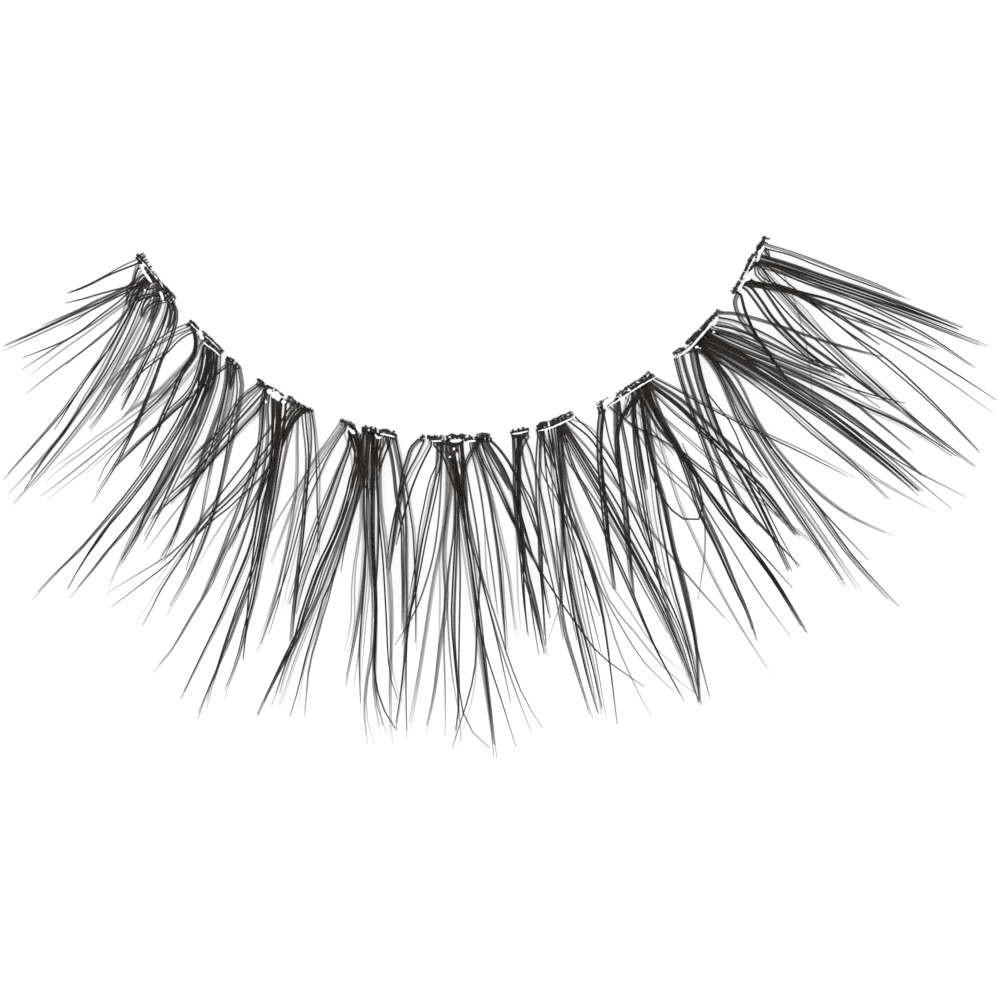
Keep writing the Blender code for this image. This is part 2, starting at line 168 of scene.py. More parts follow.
STRANDS = {
    1: [
        bundle(2, (7, 3, 2), (134, 263), (124, 267), (108, 275), (92, 283), (78, 289), (67, 293)),
        single((137, 270), (131, 284), (115, 290), (100, 294), (82, 299), (65, 303)),
        bundle(2, (4, 5, 2), (138, 264), (135, 274), (131, 286), (120, 292), (100, 302), (80, 311),
            (60, 321), (40, 330), (22, 338), (3, 346)),
        single((143, 276), (137, 281), (131, 287), (112, 296), (92, 307), (74, 315), (55, 323), (34, 333),
            (18, 339)),
        single((142, 275), (136, 280), (130, 285), (112, 294), (95, 301), (80, 309), (60, 318), (42, 326)),
        single((144, 278), (138, 284), (131, 290), (113, 299), (90, 311), (60, 325), (40, 334), (20, 343),
            (2, 351)),
        single((145, 279), (136, 288), (121, 295), (108, 301), (90, 311), (76, 320), (64, 326)),
        single((144, 279), (130, 291), (117, 303), (100, 316), (84, 329), (68, 339), (45, 349), (22, 358)),
        single((145, 280), (133, 292), (124, 302), (110, 312), (95, 323), (84, 330), (70, 338), (50, 351),
            (21, 370)),
        single((146, 281), (135, 294), (125, 305), (112, 314), (100, 323), (85, 334), (60, 352), (45, 364),
            (28, 377)),
        single((147, 281), (136, 296), (124, 314), (116, 323), (98, 338), (80, 353), (65, 364), (45, 379),
            (26, 394)),
        single((148, 282), (134, 302), (120, 320), (98, 340), (80, 353), (66, 365)),
        single((140, 272), (133, 288), (127, 300), (122, 316), (114, 334), (106, 346), (100, 358)),
        bundle(2, (6, 4, 3), (142, 278), (135, 294), (128, 312), (116, 334), (104, 354), (92, 370),
            (80, 387), (62, 412), (40, 438), (20, 460), (3, 479)),
        single((145, 279), (138, 294), (130, 312), (119, 332), (107, 352), (97, 364), (86, 381), (75, 397),
            (63, 416), (54, 430)),
        bundle(2, (4, 4, 3), (147, 281), (142, 290), (134, 305), (124, 326), (113, 348), (102, 370),
            (92, 387), (82, 403), (73, 419), (62, 434), (50, 448), (35, 465), (20, 481), (8, 494)),
        single((149, 283), (144, 291), (136, 305), (126, 327), (115, 349), (104, 371), (94, 387), (84, 402),
            (74, 418), (64, 434), (54, 446), (44, 459), (33, 476), (24, 490)),
        bundle(2, (5, 4, 4), (151, 285), (147, 294), (142, 304), (133, 326), (122, 348), (112, 365),
            (100, 384), (90, 397), (80, 411), (72, 421), (60, 438), (47, 454), (36, 470), (25, 487)),
        bundle(2, (5, 4, 3), (155, 287), (153, 298), (148, 308), (134, 335), (121, 360), (108, 384),
            (96, 404), (84, 421), (68, 441), (55, 457), (42, 472), (30, 486), (20, 496), (11, 507)),
        single((157, 289), (155, 299), (149, 311), (136, 337), (123, 361), (110, 385), (98, 404), (86, 422),
            (70, 441), (57, 457), (44, 473), (32, 486)),
        bundle(2, (6, 6, 7), (159, 292), (157, 304), (151, 318), (142, 338), (130, 360), (121, 376),
            (112, 390), (102, 408), (87, 427)),
        bundle(2, (4, 3, 3), (161, 296), (160, 306), (154, 320), (145, 340), (132, 363), (122, 382),
            (112, 398), (103, 412), (89, 431)),
        single((160, 294), (158, 306), (153, 322), (146, 342), (136, 360), (126, 378), (116, 394),
            (110, 404)),
        bundle(2, (4, 3, 3), (167, 299), (166, 308), (163, 318), (155, 335), (148, 350), (141, 365),
            (133, 382), (127, 395), (120, 410)),
        single((168, 300), (168, 308), (166, 318), (159, 336), (152, 350), (143, 368), (135, 385),
            (122, 410)),
        bundle(2, (5, 6, 3), (171, 303), (171, 315), (169, 325), (163, 342), (156, 360), (149, 377),
            (141, 393), (134, 404), (121, 420)),
        bundle(2, (3, 3, 4), (174, 305), (177, 314), (175, 326), (169, 344), (161, 361), (154, 382),
            (146, 402), (138, 422), (128, 440), (118, 460), (105, 480), (91, 502)),
        single((173, 304), (175, 318), (169, 340), (162, 358), (155, 376), (147, 396), (138, 418),
            (127, 438), (115, 452), (106, 464), (98, 482)),
        bundle(4, (6, 10, 5), (148, 282), (141, 286), (133, 289), (130, 296), (126, 306)),
        bundle(5, (10, 12, 8), (156, 290), (150, 292), (141, 294), (134, 300), (131, 310)),
        bundle(5, (10, 10, 6), (165, 298), (159, 299), (152, 300), (146, 306), (141, 318)),
        bundle(4, (10, 8, 5), (158, 291), (158, 300), (155, 310), (150, 324)),
        bundle(3, (6, 6, 4), (171, 303), (173, 312), (171, 322), (166, 334)),
    ],
    2: [
        bundle(3, (8, 5, 4), (190, 326), (182, 329), (172, 334), (160, 342), (148, 350), (136, 359),
            (126, 368), (116, 378), (102, 391)),
        bundle(2, (5, 6, 6), (193, 331), (184, 335), (175, 342), (167, 351), (155, 360), (143, 369),
            (132, 380), (120, 395)),
        single((198, 338), (194, 354), (186, 364), (176, 376), (160, 392), (145, 402), (130, 412),
            (115, 424), (95, 438), (80, 449), (62, 461), (44, 474)),
        single((199, 340), (195, 356), (187, 367), (177, 380), (162, 394), (147, 405), (132, 416),
            (117, 427), (99, 439), (82, 453), (64, 466), (46, 482)),
        bundle(2, (3, 3, 4), (197, 336), (193, 353), (185, 363), (172, 376), (158, 390), (146, 399),
            (134, 407), (122, 417)),
        single((201, 342), (197, 355), (188, 368), (176, 383), (164, 396), (150, 408), (137, 420),
            (120, 433), (104, 447), (85, 462), (62, 480), (41, 496)),
        single((202, 344), (199, 360), (190, 372), (178, 386), (165, 398), (152, 410), (139, 423),
            (122, 438), (105, 452), (85, 470), (62, 488), (46, 502)),
        single((203, 346), (200, 362), (190, 375), (178, 389), (166, 401), (152, 413), (140, 425),
            (126, 438), (112, 450), (100, 461), (87, 473)),
        bundle(2, (3, 4, 4), (194, 331), (196, 345), (193, 357), (185, 368), (178, 381), (172, 396),
            (164, 413), (157, 430), (149, 448), (140, 468)),
        bundle(2, (3, 5, 5), (195, 333), (195, 350), (188, 362), (178, 376), (168, 388), (156, 401),
            (143, 414), (134, 424)),
        single((195, 350), (184, 372), (176, 388), (166, 404), (160, 418), (153, 433)),
        single((206, 350), (200, 370), (194, 385), (186, 400), (172, 412), (158, 425), (146, 436),
            (130, 451), (113, 467)),
        bundle(2, (3, 4, 5), (204, 348), (198, 370), (192, 386), (184, 397), (172, 408), (161, 418)),
        bundle(2, (8, 4, 4), (206, 346), (203, 370), (196, 388), (187, 404), (176, 426), (158, 453),
            (140, 478), (122, 501), (100, 527), (78, 552), (60, 569), (42, 588), (32, 599)),
        bundle(2, (8, 4, 1), (210, 348), (206, 372), (199, 390), (190, 408), (178, 431), (162, 455),
            (145, 480), (128, 501), (112, 520), (98, 538), (88, 553), (80, 566), (72, 580), (67, 590)),
        single((209, 350), (205, 374), (198, 393), (189, 411), (177, 434), (160, 460), (143, 484),
            (125, 507), (110, 524), (98, 541), (89, 553), (77, 572)),
        bundle(2, (8, 4, 3), (212, 350), (209, 374), (203, 392), (195, 410), (185, 430), (174, 452),
            (163, 474), (150, 499), (137, 516), (121, 536), (110, 548), (96, 566), (82, 583), (69, 598)),
        bundle(3, (8, 7, 6), (214, 352), (212, 376), (206, 394), (199, 414), (190, 440), (178, 462),
            (166, 484), (153, 505), (142, 526), (130, 548), (119, 566)),
        bundle(2, (3, 3, 4), (215, 352), (213, 378), (207, 396), (198, 420), (186, 446), (171, 472),
            (158, 492), (146, 510), (137, 526), (127, 546), (118, 566), (108, 589)),
        bundle(2, (3, 5, 4), (213, 351), (210, 376), (204, 394), (194, 420), (180, 448), (166, 476),
            (154, 498), (146, 512), (139, 530), (131, 544), (121, 561)),
        bundle(2, (5, 3, 1), (218, 354), (216, 378), (210, 398), (202, 420), (192, 442), (182, 460),
            (173, 480), (166, 496), (160, 511), (152, 528), (141, 548)),
        bundle(2, (6, 5, 5), (219, 356), (217, 380), (211, 400), (204, 420), (195, 440), (186, 456),
            (176, 477), (165, 500), (154, 520), (144, 538)),
        bundle(2, (4, 5, 5), (228, 364), (214, 375), (200, 388), (186, 400), (172, 412), (158, 425),
            (146, 435), (130, 450), (111, 469)),
        bundle(3, (4, 4, 3), (227, 365), (226, 382), (221, 404), (214, 424), (207, 442), (201, 460),
            (194, 479), (188, 498), (182, 515), (176, 532), (170, 543), (157, 563)),
        bundle(2, (3, 3, 1), (231, 366), (230, 388), (224, 416), (217, 442), (211, 466), (206, 492),
            (201, 518), (195, 538), (186, 571)),
        bundle(2, (4, 5, 5), (229, 366), (227, 390), (220, 420), (212, 448), (206, 464), (198, 480),
            (188, 502), (180, 522), (172, 544), (162, 563)),
        single((228, 366), (225, 395), (214, 430), (200, 470), (186, 497), (178, 508), (165, 525),
            (147, 550)),
        bundle(2, (3, 3, 2), (234, 367), (233, 388), (228, 414), (219, 444), (212, 462), (207, 480)),
        bundle(3, (4, 4, 5), (239, 367), (242, 385), (240, 402), (235, 428), (229, 452), (223, 477),
            (217, 500), (210, 521), (202, 543), (193, 565), (183, 585), (166, 615)),
        single((236, 367), (237, 395), (231, 425), (226, 455), (221, 480), (216, 505), (208, 528),
            (200, 552), (189, 577)),
        bundle(4, (10, 8, 3), (232, 364), (232, 371), (231, 379), (230, 390)),
        bundle(5, (16, 16, 10), (210, 348), (210, 362), (208, 376), (203, 392), (197, 408)),
    ],
    3: [
        bundle(2, (4, 4, 4), (257, 385), (245, 394), (236, 404), (226, 420), (213, 436), (200, 449),
            (187, 463)),
        bundle(2, (4, 4, 4), (259, 387), (248, 397), (238, 408), (226, 424), (212, 441), (197, 458),
            (180, 478)),
        bundle(2, (7, 7, 4), (262, 391), (250, 404), (239, 417), (228, 431), (214, 448), (200, 464),
            (188, 477), (163, 501)),
        bundle(2, (6, 6, 4), (264, 394), (253, 408), (241, 421), (230, 434), (217, 449), (203, 466),
            (190, 481), (171, 505)),
        bundle(2, (3, 4, 4), (265, 396), (256, 411), (244, 424), (230, 440), (213, 458), (197, 476),
            (178, 493), (150, 519)),
        bundle(2, (4, 4, 3), (266, 397), (260, 411), (250, 421), (240, 431), (228, 444), (214, 459),
            (203, 472), (194, 486)),
        bundle(3, (3, 4, 3), (264, 391), (261, 408), (261, 425), (258, 450), (251, 473), (244, 492),
            (238, 508), (231, 527), (223, 549), (213, 573), (201, 600)),
        single((265, 392), (262, 428), (259, 455), (253, 480), (247, 500), (241, 520), (235, 537),
            (229, 550)),
        single((267, 393), (264, 428), (261, 455), (255, 480), (249, 500), (243, 520), (237, 537),
            (232, 548)),
        bundle(2, (3, 3, 4), (269, 394), (267, 410), (268, 428), (265, 458), (260, 486), (253, 508),
            (246, 530), (238, 553), (229, 575), (219, 600)),
        single((276, 398), (274, 420), (264, 436), (254, 449), (243, 464), (231, 480), (219, 496),
            (206, 512), (194, 529), (178, 548), (159, 564)),
        single((275, 398), (273, 424), (262, 439), (247, 460), (230, 482), (212, 505), (196, 528),
            (180, 546), (163, 559), (130, 579), (105, 594)),
        single((278, 400), (276, 430), (264, 451), (254, 464), (240, 483), (226, 498), (212, 511),
            (200, 524), (190, 538), (180, 549), (170, 562), (156, 582)),
        single((278, 400), (275, 434), (255, 463), (228, 496), (203, 521), (188, 540), (175, 557),
            (160, 570), (140, 585), (111, 607)),
        single((279, 400), (276, 438), (258, 464), (232, 494), (208, 516), (196, 532), (184, 549),
            (172, 568), (158, 588), (147, 606), (136, 622)),
        single((280, 400), (277, 440), (260, 466), (234, 496), (210, 518), (198, 533), (186, 551),
            (174, 569), (162, 588), (153, 606), (143, 625)),
        single((280, 400), (277, 452), (264, 473), (250, 488), (238, 499), (230, 507), (217, 517),
            (204, 528), (192, 541), (180, 557)),
        single((281, 400), (277, 455), (262, 477), (248, 492), (238, 503), (228, 515), (217, 532),
            (208, 547), (199, 563)),
        bundle(2, (12, 4, 2), (275, 398), (275, 430), (273, 455), (267, 474), (257, 495), (249, 509),
            (240, 523), (225, 552), (210, 587), (203, 598), (185, 628), (172, 650), (153, 672)),
        bundle(3, (12, 4, 3), (277, 398), (276, 430), (274, 460), (266, 482), (261, 497), (258, 512),
            (256, 528), (249, 552), (243, 567), (232, 592), (222, 615), (208, 643), (200, 659), (181, 699)),
        bundle(2, (4, 4, 3), (279, 399), (277, 430), (274, 465), (269, 490), (264, 515), (260, 540),
            (255, 562), (248, 582), (240, 602), (232, 624), (227, 636), (223, 650), (218, 666), (211, 684),
            (203, 700), (197, 718)),
        bundle(2, (4, 4, 4), (281, 400), (278, 430), (275, 465), (270, 490), (266, 515), (262, 540),
            (257, 564), (250, 586), (243, 606), (236, 624), (229, 643), (222, 658), (215, 675), (211, 690),
            (206, 708)),
        single((274, 398), (273, 430), (270, 470), (264, 500), (257, 530), (253, 555), (250, 580),
            (248, 600), (246, 625), (243, 660)),
        bundle(3, (12, 6, 3), (286, 401), (284, 430), (281, 455), (277, 475), (274, 495), (270, 518),
            (265, 540), (261, 560), (257, 582), (252, 605), (246, 626), (241, 647), (235, 667), (228, 684),
            (223, 698)),
        bundle(2, (8, 5, 4), (284, 400), (282, 430), (278, 460), (273, 492), (268, 518), (263, 542),
            (258, 570), (252, 600), (247, 620), (242, 657)),
        bundle(3, (12, 8, 5), (281, 399), (280, 420), (276, 450), (272, 482), (269, 515)),
        bundle(2, (5, 4, 4), (293, 403), (292, 424), (287, 445), (282, 468), (277, 492), (271, 520),
            (266, 548)),
        bundle(2, (3, 3, 4), (298, 405), (297, 440), (297, 470), (295, 495), (292, 517), (288, 540),
            (284, 560), (279, 582), (272, 605), (266, 625), (256, 652)),
        bundle(2, (6, 5, 5), (303, 407), (305, 430), (307, 450), (307, 470), (305, 495), (304, 515),
            (302, 540), (299, 562), (296, 590), (293, 615), (291, 642)),
        bundle(2, (4, 4, 5), (308, 409), (310, 428), (310, 450), (308, 470), (306, 495), (304, 520),
            (301, 548), (297, 575), (294, 605), (290, 648)),
        bundle(2, (3, 3, 3), (312, 410), (315, 430), (317, 455), (318, 480), (318, 505), (319, 528),
            (318, 557)),
        bundle(7, (12, 12, 8), (300, 406), (294, 412), (288, 421), (283, 433), (280, 446)),
        bundle(3, (4, 5, 4), (309, 409), (301, 413), (293, 421), (286, 433), (281, 448)),
    ],
    4: [
        single((339, 424), (325, 444), (315, 458), (303, 478), (285, 507), (267, 538)),
        bundle(2, (3, 3, 4), (341, 427), (333, 438), (322, 452), (310, 469), (302, 484), (294, 503),
            (284, 530), (271, 565)),
        bundle(2, (3, 4, 5), (343, 428), (334, 441), (324, 456), (312, 474), (303, 492), (297, 515),
            (290, 545), (283, 572), (277, 600), (267, 634)),
        single((345, 430), (338, 440), (328, 456), (318, 478), (308, 500), (300, 525), (294, 548),
            (286, 575), (276, 602), (261, 644)),
        single((344, 430), (335, 446), (324, 468), (312, 495), (304, 520), (297, 548), (290, 575),
            (282, 609)),
        single((349, 434), (347, 445), (340, 462), (331, 482), (322, 503), (314, 523), (306, 545),
            (300, 562), (293, 585), (287, 603)),
        bundle(3, (4, 5, 4), (351, 434), (349, 448), (343, 464), (337, 482), (331, 499), (324, 518),
            (317, 537), (311, 556), (304, 576), (299, 595), (295, 614)),
        single((350, 436), (346, 452), (336, 475), (326, 500), (316, 525), (308, 548), (299, 575),
            (289, 604)),
        bundle(3, (7, 6, 3), (352, 430), (358, 455), (352, 480), (346, 505), (338, 528), (329, 548),
            (322, 562), (314, 582), (308, 600), (302, 618), (297, 636), (284, 660), (274, 680), (265, 698),
            (257, 715)),
        bundle(2, (5, 5, 3), (355, 432), (360, 460), (355, 485), (348, 508), (340, 532), (331, 554),
            (323, 575), (316, 597), (308, 614), (300, 630), (290, 652), (284, 668), (277, 690), (271, 705)),
        bundle(2, (4, 5, 3), (357, 434), (361, 465), (356, 490), (350, 512), (341, 537), (332, 560),
            (325, 580), (317, 600), (309, 616), (302, 632), (294, 650), (287, 668), (282, 686), (277, 706)),
        bundle(2, (4, 5, 6), (354, 432), (357, 458), (350, 486), (342, 510), (333, 535), (324, 556),
            (316, 576), (309, 596), (303, 612), (298, 626)),
        bundle(2, (2, 3, 3), (358, 436), (361, 466), (357, 490), (350, 516), (342, 540), (334, 562),
            (326, 583), (319, 601), (311, 620), (303, 640), (295, 660), (288, 682), (280, 706)),
        single((360, 438), (362, 470), (358, 492), (351, 520), (343, 545), (335, 570), (327, 590),
            (320, 606), (316, 625), (309, 645), (304, 665), (298, 690), (290, 716)),
        single((361, 438), (363, 474), (359, 496), (352, 522), (344, 548), (336, 572), (329, 590),
            (322, 607), (318, 625), (313, 640), (306, 660), (302, 680), (298, 709)),
        bundle(2, (2, 2, 3), (363, 438), (363, 480), (356, 505), (347, 530), (339, 553), (333, 575),
            (327, 600), (321, 620), (317, 636), (313, 650), (309, 664), (307, 685), (304, 716)),
        single((362, 440), (361, 480), (356, 502), (350, 525), (344, 552), (341, 572)),
        bundle(2, (4, 4, 6), (364, 438), (362, 470), (361, 500), (361, 522), (358, 545), (355, 565),
            (353, 590), (353, 615), (351, 632), (346, 652)),
        bundle(3, (8, 5, 5), (367, 438), (364, 480), (364, 510), (365, 540), (364, 560), (362, 585),
            (359, 610), (355, 635), (350, 660), (345, 687)),
        bundle(2, (8, 4, 1), (370, 438), (366, 482), (365, 515), (366, 545), (366, 570), (364, 598),
            (362, 622), (360, 650), (360, 680), (361, 711)),
        single((369, 438), (367, 490), (367, 530), (369, 560), (369, 590), (366, 618), (364, 645),
            (361, 682)),
        single((368, 438), (364, 500), (365, 550), (362, 600), (360, 640), (354, 686)),
        bundle(2, (8, 4, 3), (371, 437), (369, 470), (370, 500), (369, 530), (371, 565), (374, 600),
            (373, 630), (371, 655), (367, 675), (364, 700), (364, 716), (367, 744)),
        single((372, 437), (370, 472), (371, 502), (371, 532), (373, 567), (375, 602), (374, 632),
            (372, 657), (368, 677), (366, 700), (367, 718), (374, 744)),
        bundle(3, (4, 3, 1), (373, 437), (373, 470), (373, 500), (373, 535), (374, 570), (376, 605),
            (375, 640), (374, 665), (376, 685), (381, 703), (388, 718), (397, 731)),
        bundle(2, (2, 2, 3), (372, 437), (372, 480), (372, 520), (373, 560), (375, 600), (374, 640),
            (373, 670), (374, 695), (380, 730)),
        bundle(2, (2, 2, 3), (374, 437), (373, 480), (372, 520), (374, 560), (376, 600), (376, 640),
            (375, 670), (376, 697), (385, 733)),
        bundle(2, (6, 4, 3), (368, 437), (367, 470), (370, 500), (370, 530), (371, 560), (373, 590),
            (373, 618)),
        bundle(2, (6, 4, 6), (379, 438), (378, 470), (379, 500), (381, 530), (384, 560), (386, 590),
            (388, 625), (389, 650), (391, 672), (396, 692), (404, 710)),
        bundle(2, (4, 4, 3), (382, 438), (380, 475), (381, 505), (385, 535), (388, 560), (391, 590),
            (392, 625), (391, 655), (390, 690), (391, 744)),
        bundle(2, (4, 3, 2), (377, 438), (376, 470), (378, 500), (378, 530), (377, 560), (375, 600),
            (375, 628)),
        bundle(3, (3, 3, 3), (387, 439), (391, 455), (394, 475), (396, 495), (399, 512), (402, 530),
            (402, 555), (403, 590), (403, 632)),
        bundle(3, (3, 3, 3), (393, 438), (398, 462), (402, 485), (405, 505), (407, 530), (407, 560),
            (407, 600), (406, 635), (404, 670), (400, 700), (395, 730)),
        bundle(2, (3, 3, 3), (396, 438), (400, 455), (404, 475), (408, 492), (411, 512), (414, 532),
            (415, 555), (416, 590), (416, 620), (416, 650)),
        single((396, 438), (401, 470), (405, 500), (406, 530), (406, 570), (407, 610), (406, 660),
            (406, 700), (407, 737)),
        bundle(7, (22, 20, 12), (370, 437), (370, 452), (370, 468), (369, 482), (368, 500)),
        bundle(4, (14, 12, 8), (350, 432), (354, 445), (357, 460), (356, 476), (352, 492)),
        bundle(7, (14, 12, 6), (386, 438), (384, 446), (380, 456), (378, 472)),
    ],
    5: [
        bundle(4, (4, 4, 3), (420, 440), (412, 448), (408, 460), (403, 477), (399, 505), (394, 540),
            (389, 575)),
        bundle(2, (2, 4, 3), (424, 442), (418, 455), (409, 472), (402, 490), (395, 518), (390, 545),
            (386, 575)),
        single((429, 444), (421, 458), (413, 471), (405, 490), (397, 520), (391, 550)),
        single((431, 446), (424, 460), (417, 475), (411, 490), (404, 515), (396, 545)),
        single((437, 446), (438, 460), (430, 480), (424, 505), (419, 530), (416, 560), (409, 600)),
        bundle(2, (3, 5, 4), (440, 446), (439, 465), (432, 488), (427, 512), (420, 545), (413, 590),
            (401, 645)),
        single((437, 446), (435, 480), (429, 510), (421, 545), (414, 590), (407, 640), (396, 728)),
        single((442, 446), (438, 485), (428, 530), (416, 590), (408, 625), (406, 680), (407, 730)),
        single((443, 446), (441, 475), (439, 515), (434, 553), (426, 582), (415, 611), (395, 645)),
        bundle(3, (3, 4, 4), (447, 446), (448, 475), (446, 515), (441, 545), (434, 580), (428, 620),
            (420, 670), (408, 735)),
        single((446, 446), (445, 500), (440, 550), (440, 600), (438, 650)),
        bundle(3, (3, 4, 2), (451, 446), (451, 490), (447, 520), (444, 555), (446, 600), (440, 645),
            (434, 695), (425, 735)),
        single((453, 446), (455, 520), (450, 558), (445, 602), (444, 650), (445, 690), (445, 735)),
        single((454, 446), (454, 525), (449, 570), (447, 602), (450, 655), (455, 692), (459, 712)),
        bundle(3, (5, 4, 3), (456, 446), (457, 530), (455, 575), (453, 620), (456, 665), (459, 705),
            (455, 740)),
        single((458, 446), (459, 520), (460, 575), (459, 640), (460, 695), (469, 727), (490, 748)),
        single((456, 446), (458, 500), (456, 560), (455, 630), (458, 690), (461, 742)),
        bundle(4, (12, 9, 4), (450, 445), (456, 470), (460, 500), (464, 530), (470, 570), (477, 620),
            (485, 680), (491, 725), (495, 758)),
        single((446, 445), (455, 475), (462, 510), (468, 545), (474, 590), (480, 640), (488, 700),
            (494, 758)),
        single((462, 446), (468, 480), (473, 508), (478, 540), (480, 575), (477, 620), (474, 675),
            (452, 748)),
        single((460, 446), (463, 500), (471, 545), (479, 585), (477, 640), (474, 690), (458, 745)),
        single((461, 446), (464, 520), (472, 570), (479, 625), (488, 660), (501, 700), (516, 747)),
        single((462, 446), (463, 490), (467, 530), (480, 572), (488, 605), (498, 645), (511, 703)),
        single((462, 446), (465, 500), (475, 555), (490, 610), (503, 655), (516, 693), (531, 732)),
        single((463, 446), (466, 500), (482, 575), (496, 618), (508, 657), (524, 698), (542, 728)),
        single((472, 446), (479, 480), (484, 520), (487, 575), (492, 610)),
        single((470, 446), (480, 490), (486, 530), (493, 578), (498, 615)),
        bundle(3, (5, 5, 5), (474, 445), (481, 465), (489, 492), (495, 525), (500, 560), (503, 600),
            (507, 655)),
        bundle(2, (3, 4, 3), (478, 444), (486, 475), (495, 510), (503, 545), (509, 575), (513, 605),
            (517, 637)),
        single((476, 445), (483, 462), (497, 488), (512, 520), (526, 545), (542, 573), (558, 598),
            (575, 622), (600, 655), (645, 687)),
        bundle(2, (4, 5, 3), (477, 445), (484, 462), (498, 488), (512, 518), (525, 545), (541, 575)),
        bundle(2, (2, 3, 3), (482, 443), (488, 460), (498, 482), (510, 510), (524, 542), (540, 572),
            (550, 618)),
        bundle(3, (3, 5, 4), (487, 443), (496, 458), (503, 470), (512, 492), (522, 525), (533, 560)),
        bundle(2, (2, 4, 4), (491, 441), (500, 450), (512, 468), (524, 495), (535, 525), (547, 565)),
        bundle(5, (7, 7, 5), (436, 443), (443, 451), (449, 463), (453, 477), (456, 492)),
        bundle(4, (6, 6, 5), (479, 443), (472, 452), (466, 465), (463, 480), (461, 496)),
        bundle(5, (11, 11, 8), (455, 445), (458, 462), (462, 490), (466, 522)),
        bundle(3, (4, 5, 4), (482, 441), (490, 453), (500, 471), (510, 491)),
    ],
    6: [
        bundle(5, (8, 7, 4), (516, 438), (517, 465), (517, 500), (520, 530), (525, 568), (534, 603),
            (545, 655)),
        single((513, 440), (514, 480), (516, 530), (517, 575), (518, 600), (521, 630)),
        bundle(2, (2, 3, 2), (518, 440), (518, 500), (521, 550), (524, 600), (528, 636)),
        single((519, 440), (520, 500), (524, 560), (531, 605), (539, 655)),
        bundle(2, (2, 3, 3), (521, 440), (524, 462), (532, 490), (538, 520), (541, 565), (543, 605),
            (545, 645)),
        single((519, 440), (521, 480), (533, 503), (541, 540), (543, 585), (550, 618)),
        bundle(2, (2, 3, 4), (524, 437), (531, 454), (537, 480), (545, 515), (552, 550), (560, 600)),
        single((538, 434), (536, 460), (536, 500), (538, 525), (539, 555), (542, 590), (546, 645)),
        single((540, 434), (539, 465), (540, 515), (547, 560), (556, 600), (563, 640)),
        single((542, 434), (541, 495), (548, 530), (556, 562), (562, 600), (558, 612), (548, 640)),
        single((543, 433), (547, 480), (554, 520), (560, 560), (568, 600), (577, 640)),
        single((541, 434), (541, 470), (554, 495), (566, 518), (578, 550), (588, 600), (601, 652)),
        single((544, 433), (546, 462), (556, 490), (568, 530), (580, 570), (600, 616)),
        bundle(5, (13, 9, 10), (554, 427), (558, 462), (563, 500), (568, 545), (577, 595), (585, 630),
            (594, 668), (604, 720)),
        bundle(3, (8, 6, 6), (551, 428), (558, 465), (563, 505), (566, 550), (573, 605), (581, 645),
            (590, 682), (601, 719)),
        bundle(3, (5, 4, 3), (554, 428), (560, 470), (562, 520), (561, 570), (562, 620), (572, 658),
            (583, 693), (592, 720)),
        single((548, 429), (552, 480), (556, 540), (560, 590), (567, 635), (578, 670), (588, 710)),
        bundle(2, (4, 6, 4), (558, 426), (562, 470), (567, 500), (577, 525), (585, 548), (593, 573),
            (602, 612), (609, 656)),
        single((558, 426), (562, 490), (572, 525), (584, 550), (592, 570), (602, 612), (609, 656),
            (617, 724)),
        single((559, 426), (566, 490), (577, 525), (588, 553), (598, 583), (607, 612), (617, 645),
            (637, 690), (652, 717)),
        single((560, 426), (566, 480), (575, 520), (586, 555), (600, 587), (617, 620), (644, 662),
            (676, 693)),
        single((560, 426), (568, 480), (578, 515), (592, 550), (609, 600), (635, 633), (664, 668),
            (697, 695)),
        single((559, 426), (566, 470), (577, 508), (592, 543), (611, 585), (627, 607), (656, 648),
            (689, 677)),
        bundle(3, (3, 3, 2), (561, 426), (572, 463), (586, 492), (600, 521), (613, 551), (629, 587),
            (654, 645), (684, 701)),
        single((562, 425), (565, 456), (585, 485), (604, 514), (622, 545), (637, 576), (650, 600),
            (668, 633)),
        bundle(5, (9, 9, 5), (562, 427), (577, 453), (592, 478), (605, 501), (618, 525), (630, 546),
            (642, 569), (655, 595), (668, 622), (692, 680), (699, 704)),
        bundle(3, (4, 8, 6), (564, 425), (582, 454), (600, 481), (615, 506), (630, 536), (646, 566),
            (661, 593), (674, 618), (685, 645), (698, 692)),
        bundle(2, (2, 3, 3), (566, 424), (573, 432), (590, 451), (611, 478), (634, 508), (662, 545),
            (700, 590), (730, 624)),
        single((570, 422), (590, 438), (603, 457), (613, 475), (625, 498), (637, 522), (650, 550),
            (668, 585)),
        single((573, 420), (590, 427), (606, 448), (618, 466), (630, 487), (645, 512), (660, 545)),
        single((576, 418), (591, 432), (609, 455), (622, 478)),
        bundle(5, (7, 6, 4), (526, 436), (522, 443), (519, 452), (517, 466)),
        bundle(4, (8, 6, 4), (541, 434), (545, 444), (550, 456), (556, 470)),
    ],
    7: [
        bundle(4, (6, 5, 4), (602, 412), (600, 430), (600, 460), (604, 500), (608, 540), (614, 590)),
        single((604, 414), (609, 438), (617, 466), (622, 500), (626, 540)),
        bundle(5, (4, 5, 4), (616, 402), (616, 430), (619, 465), (624, 500), (628, 545), (634, 600)),
        bundle(3, (2, 3, 4), (619, 402), (622, 425), (627, 450), (632, 476), (640, 512), (655, 560)),
        bundle(2, (3, 4, 3), (608, 406), (620, 417), (640, 430), (660, 440), (676, 451), (690, 468),
            (704, 486), (719, 505), (737, 527), (770, 563), (792, 588)),
        single((612, 404), (622, 415), (640, 437), (652, 457), (668, 476), (688, 495), (705, 521),
            (722, 552), (730, 570)),
        bundle(3, (4, 4, 3), (641, 393), (628, 408), (619, 424), (617, 450), (620, 478)),
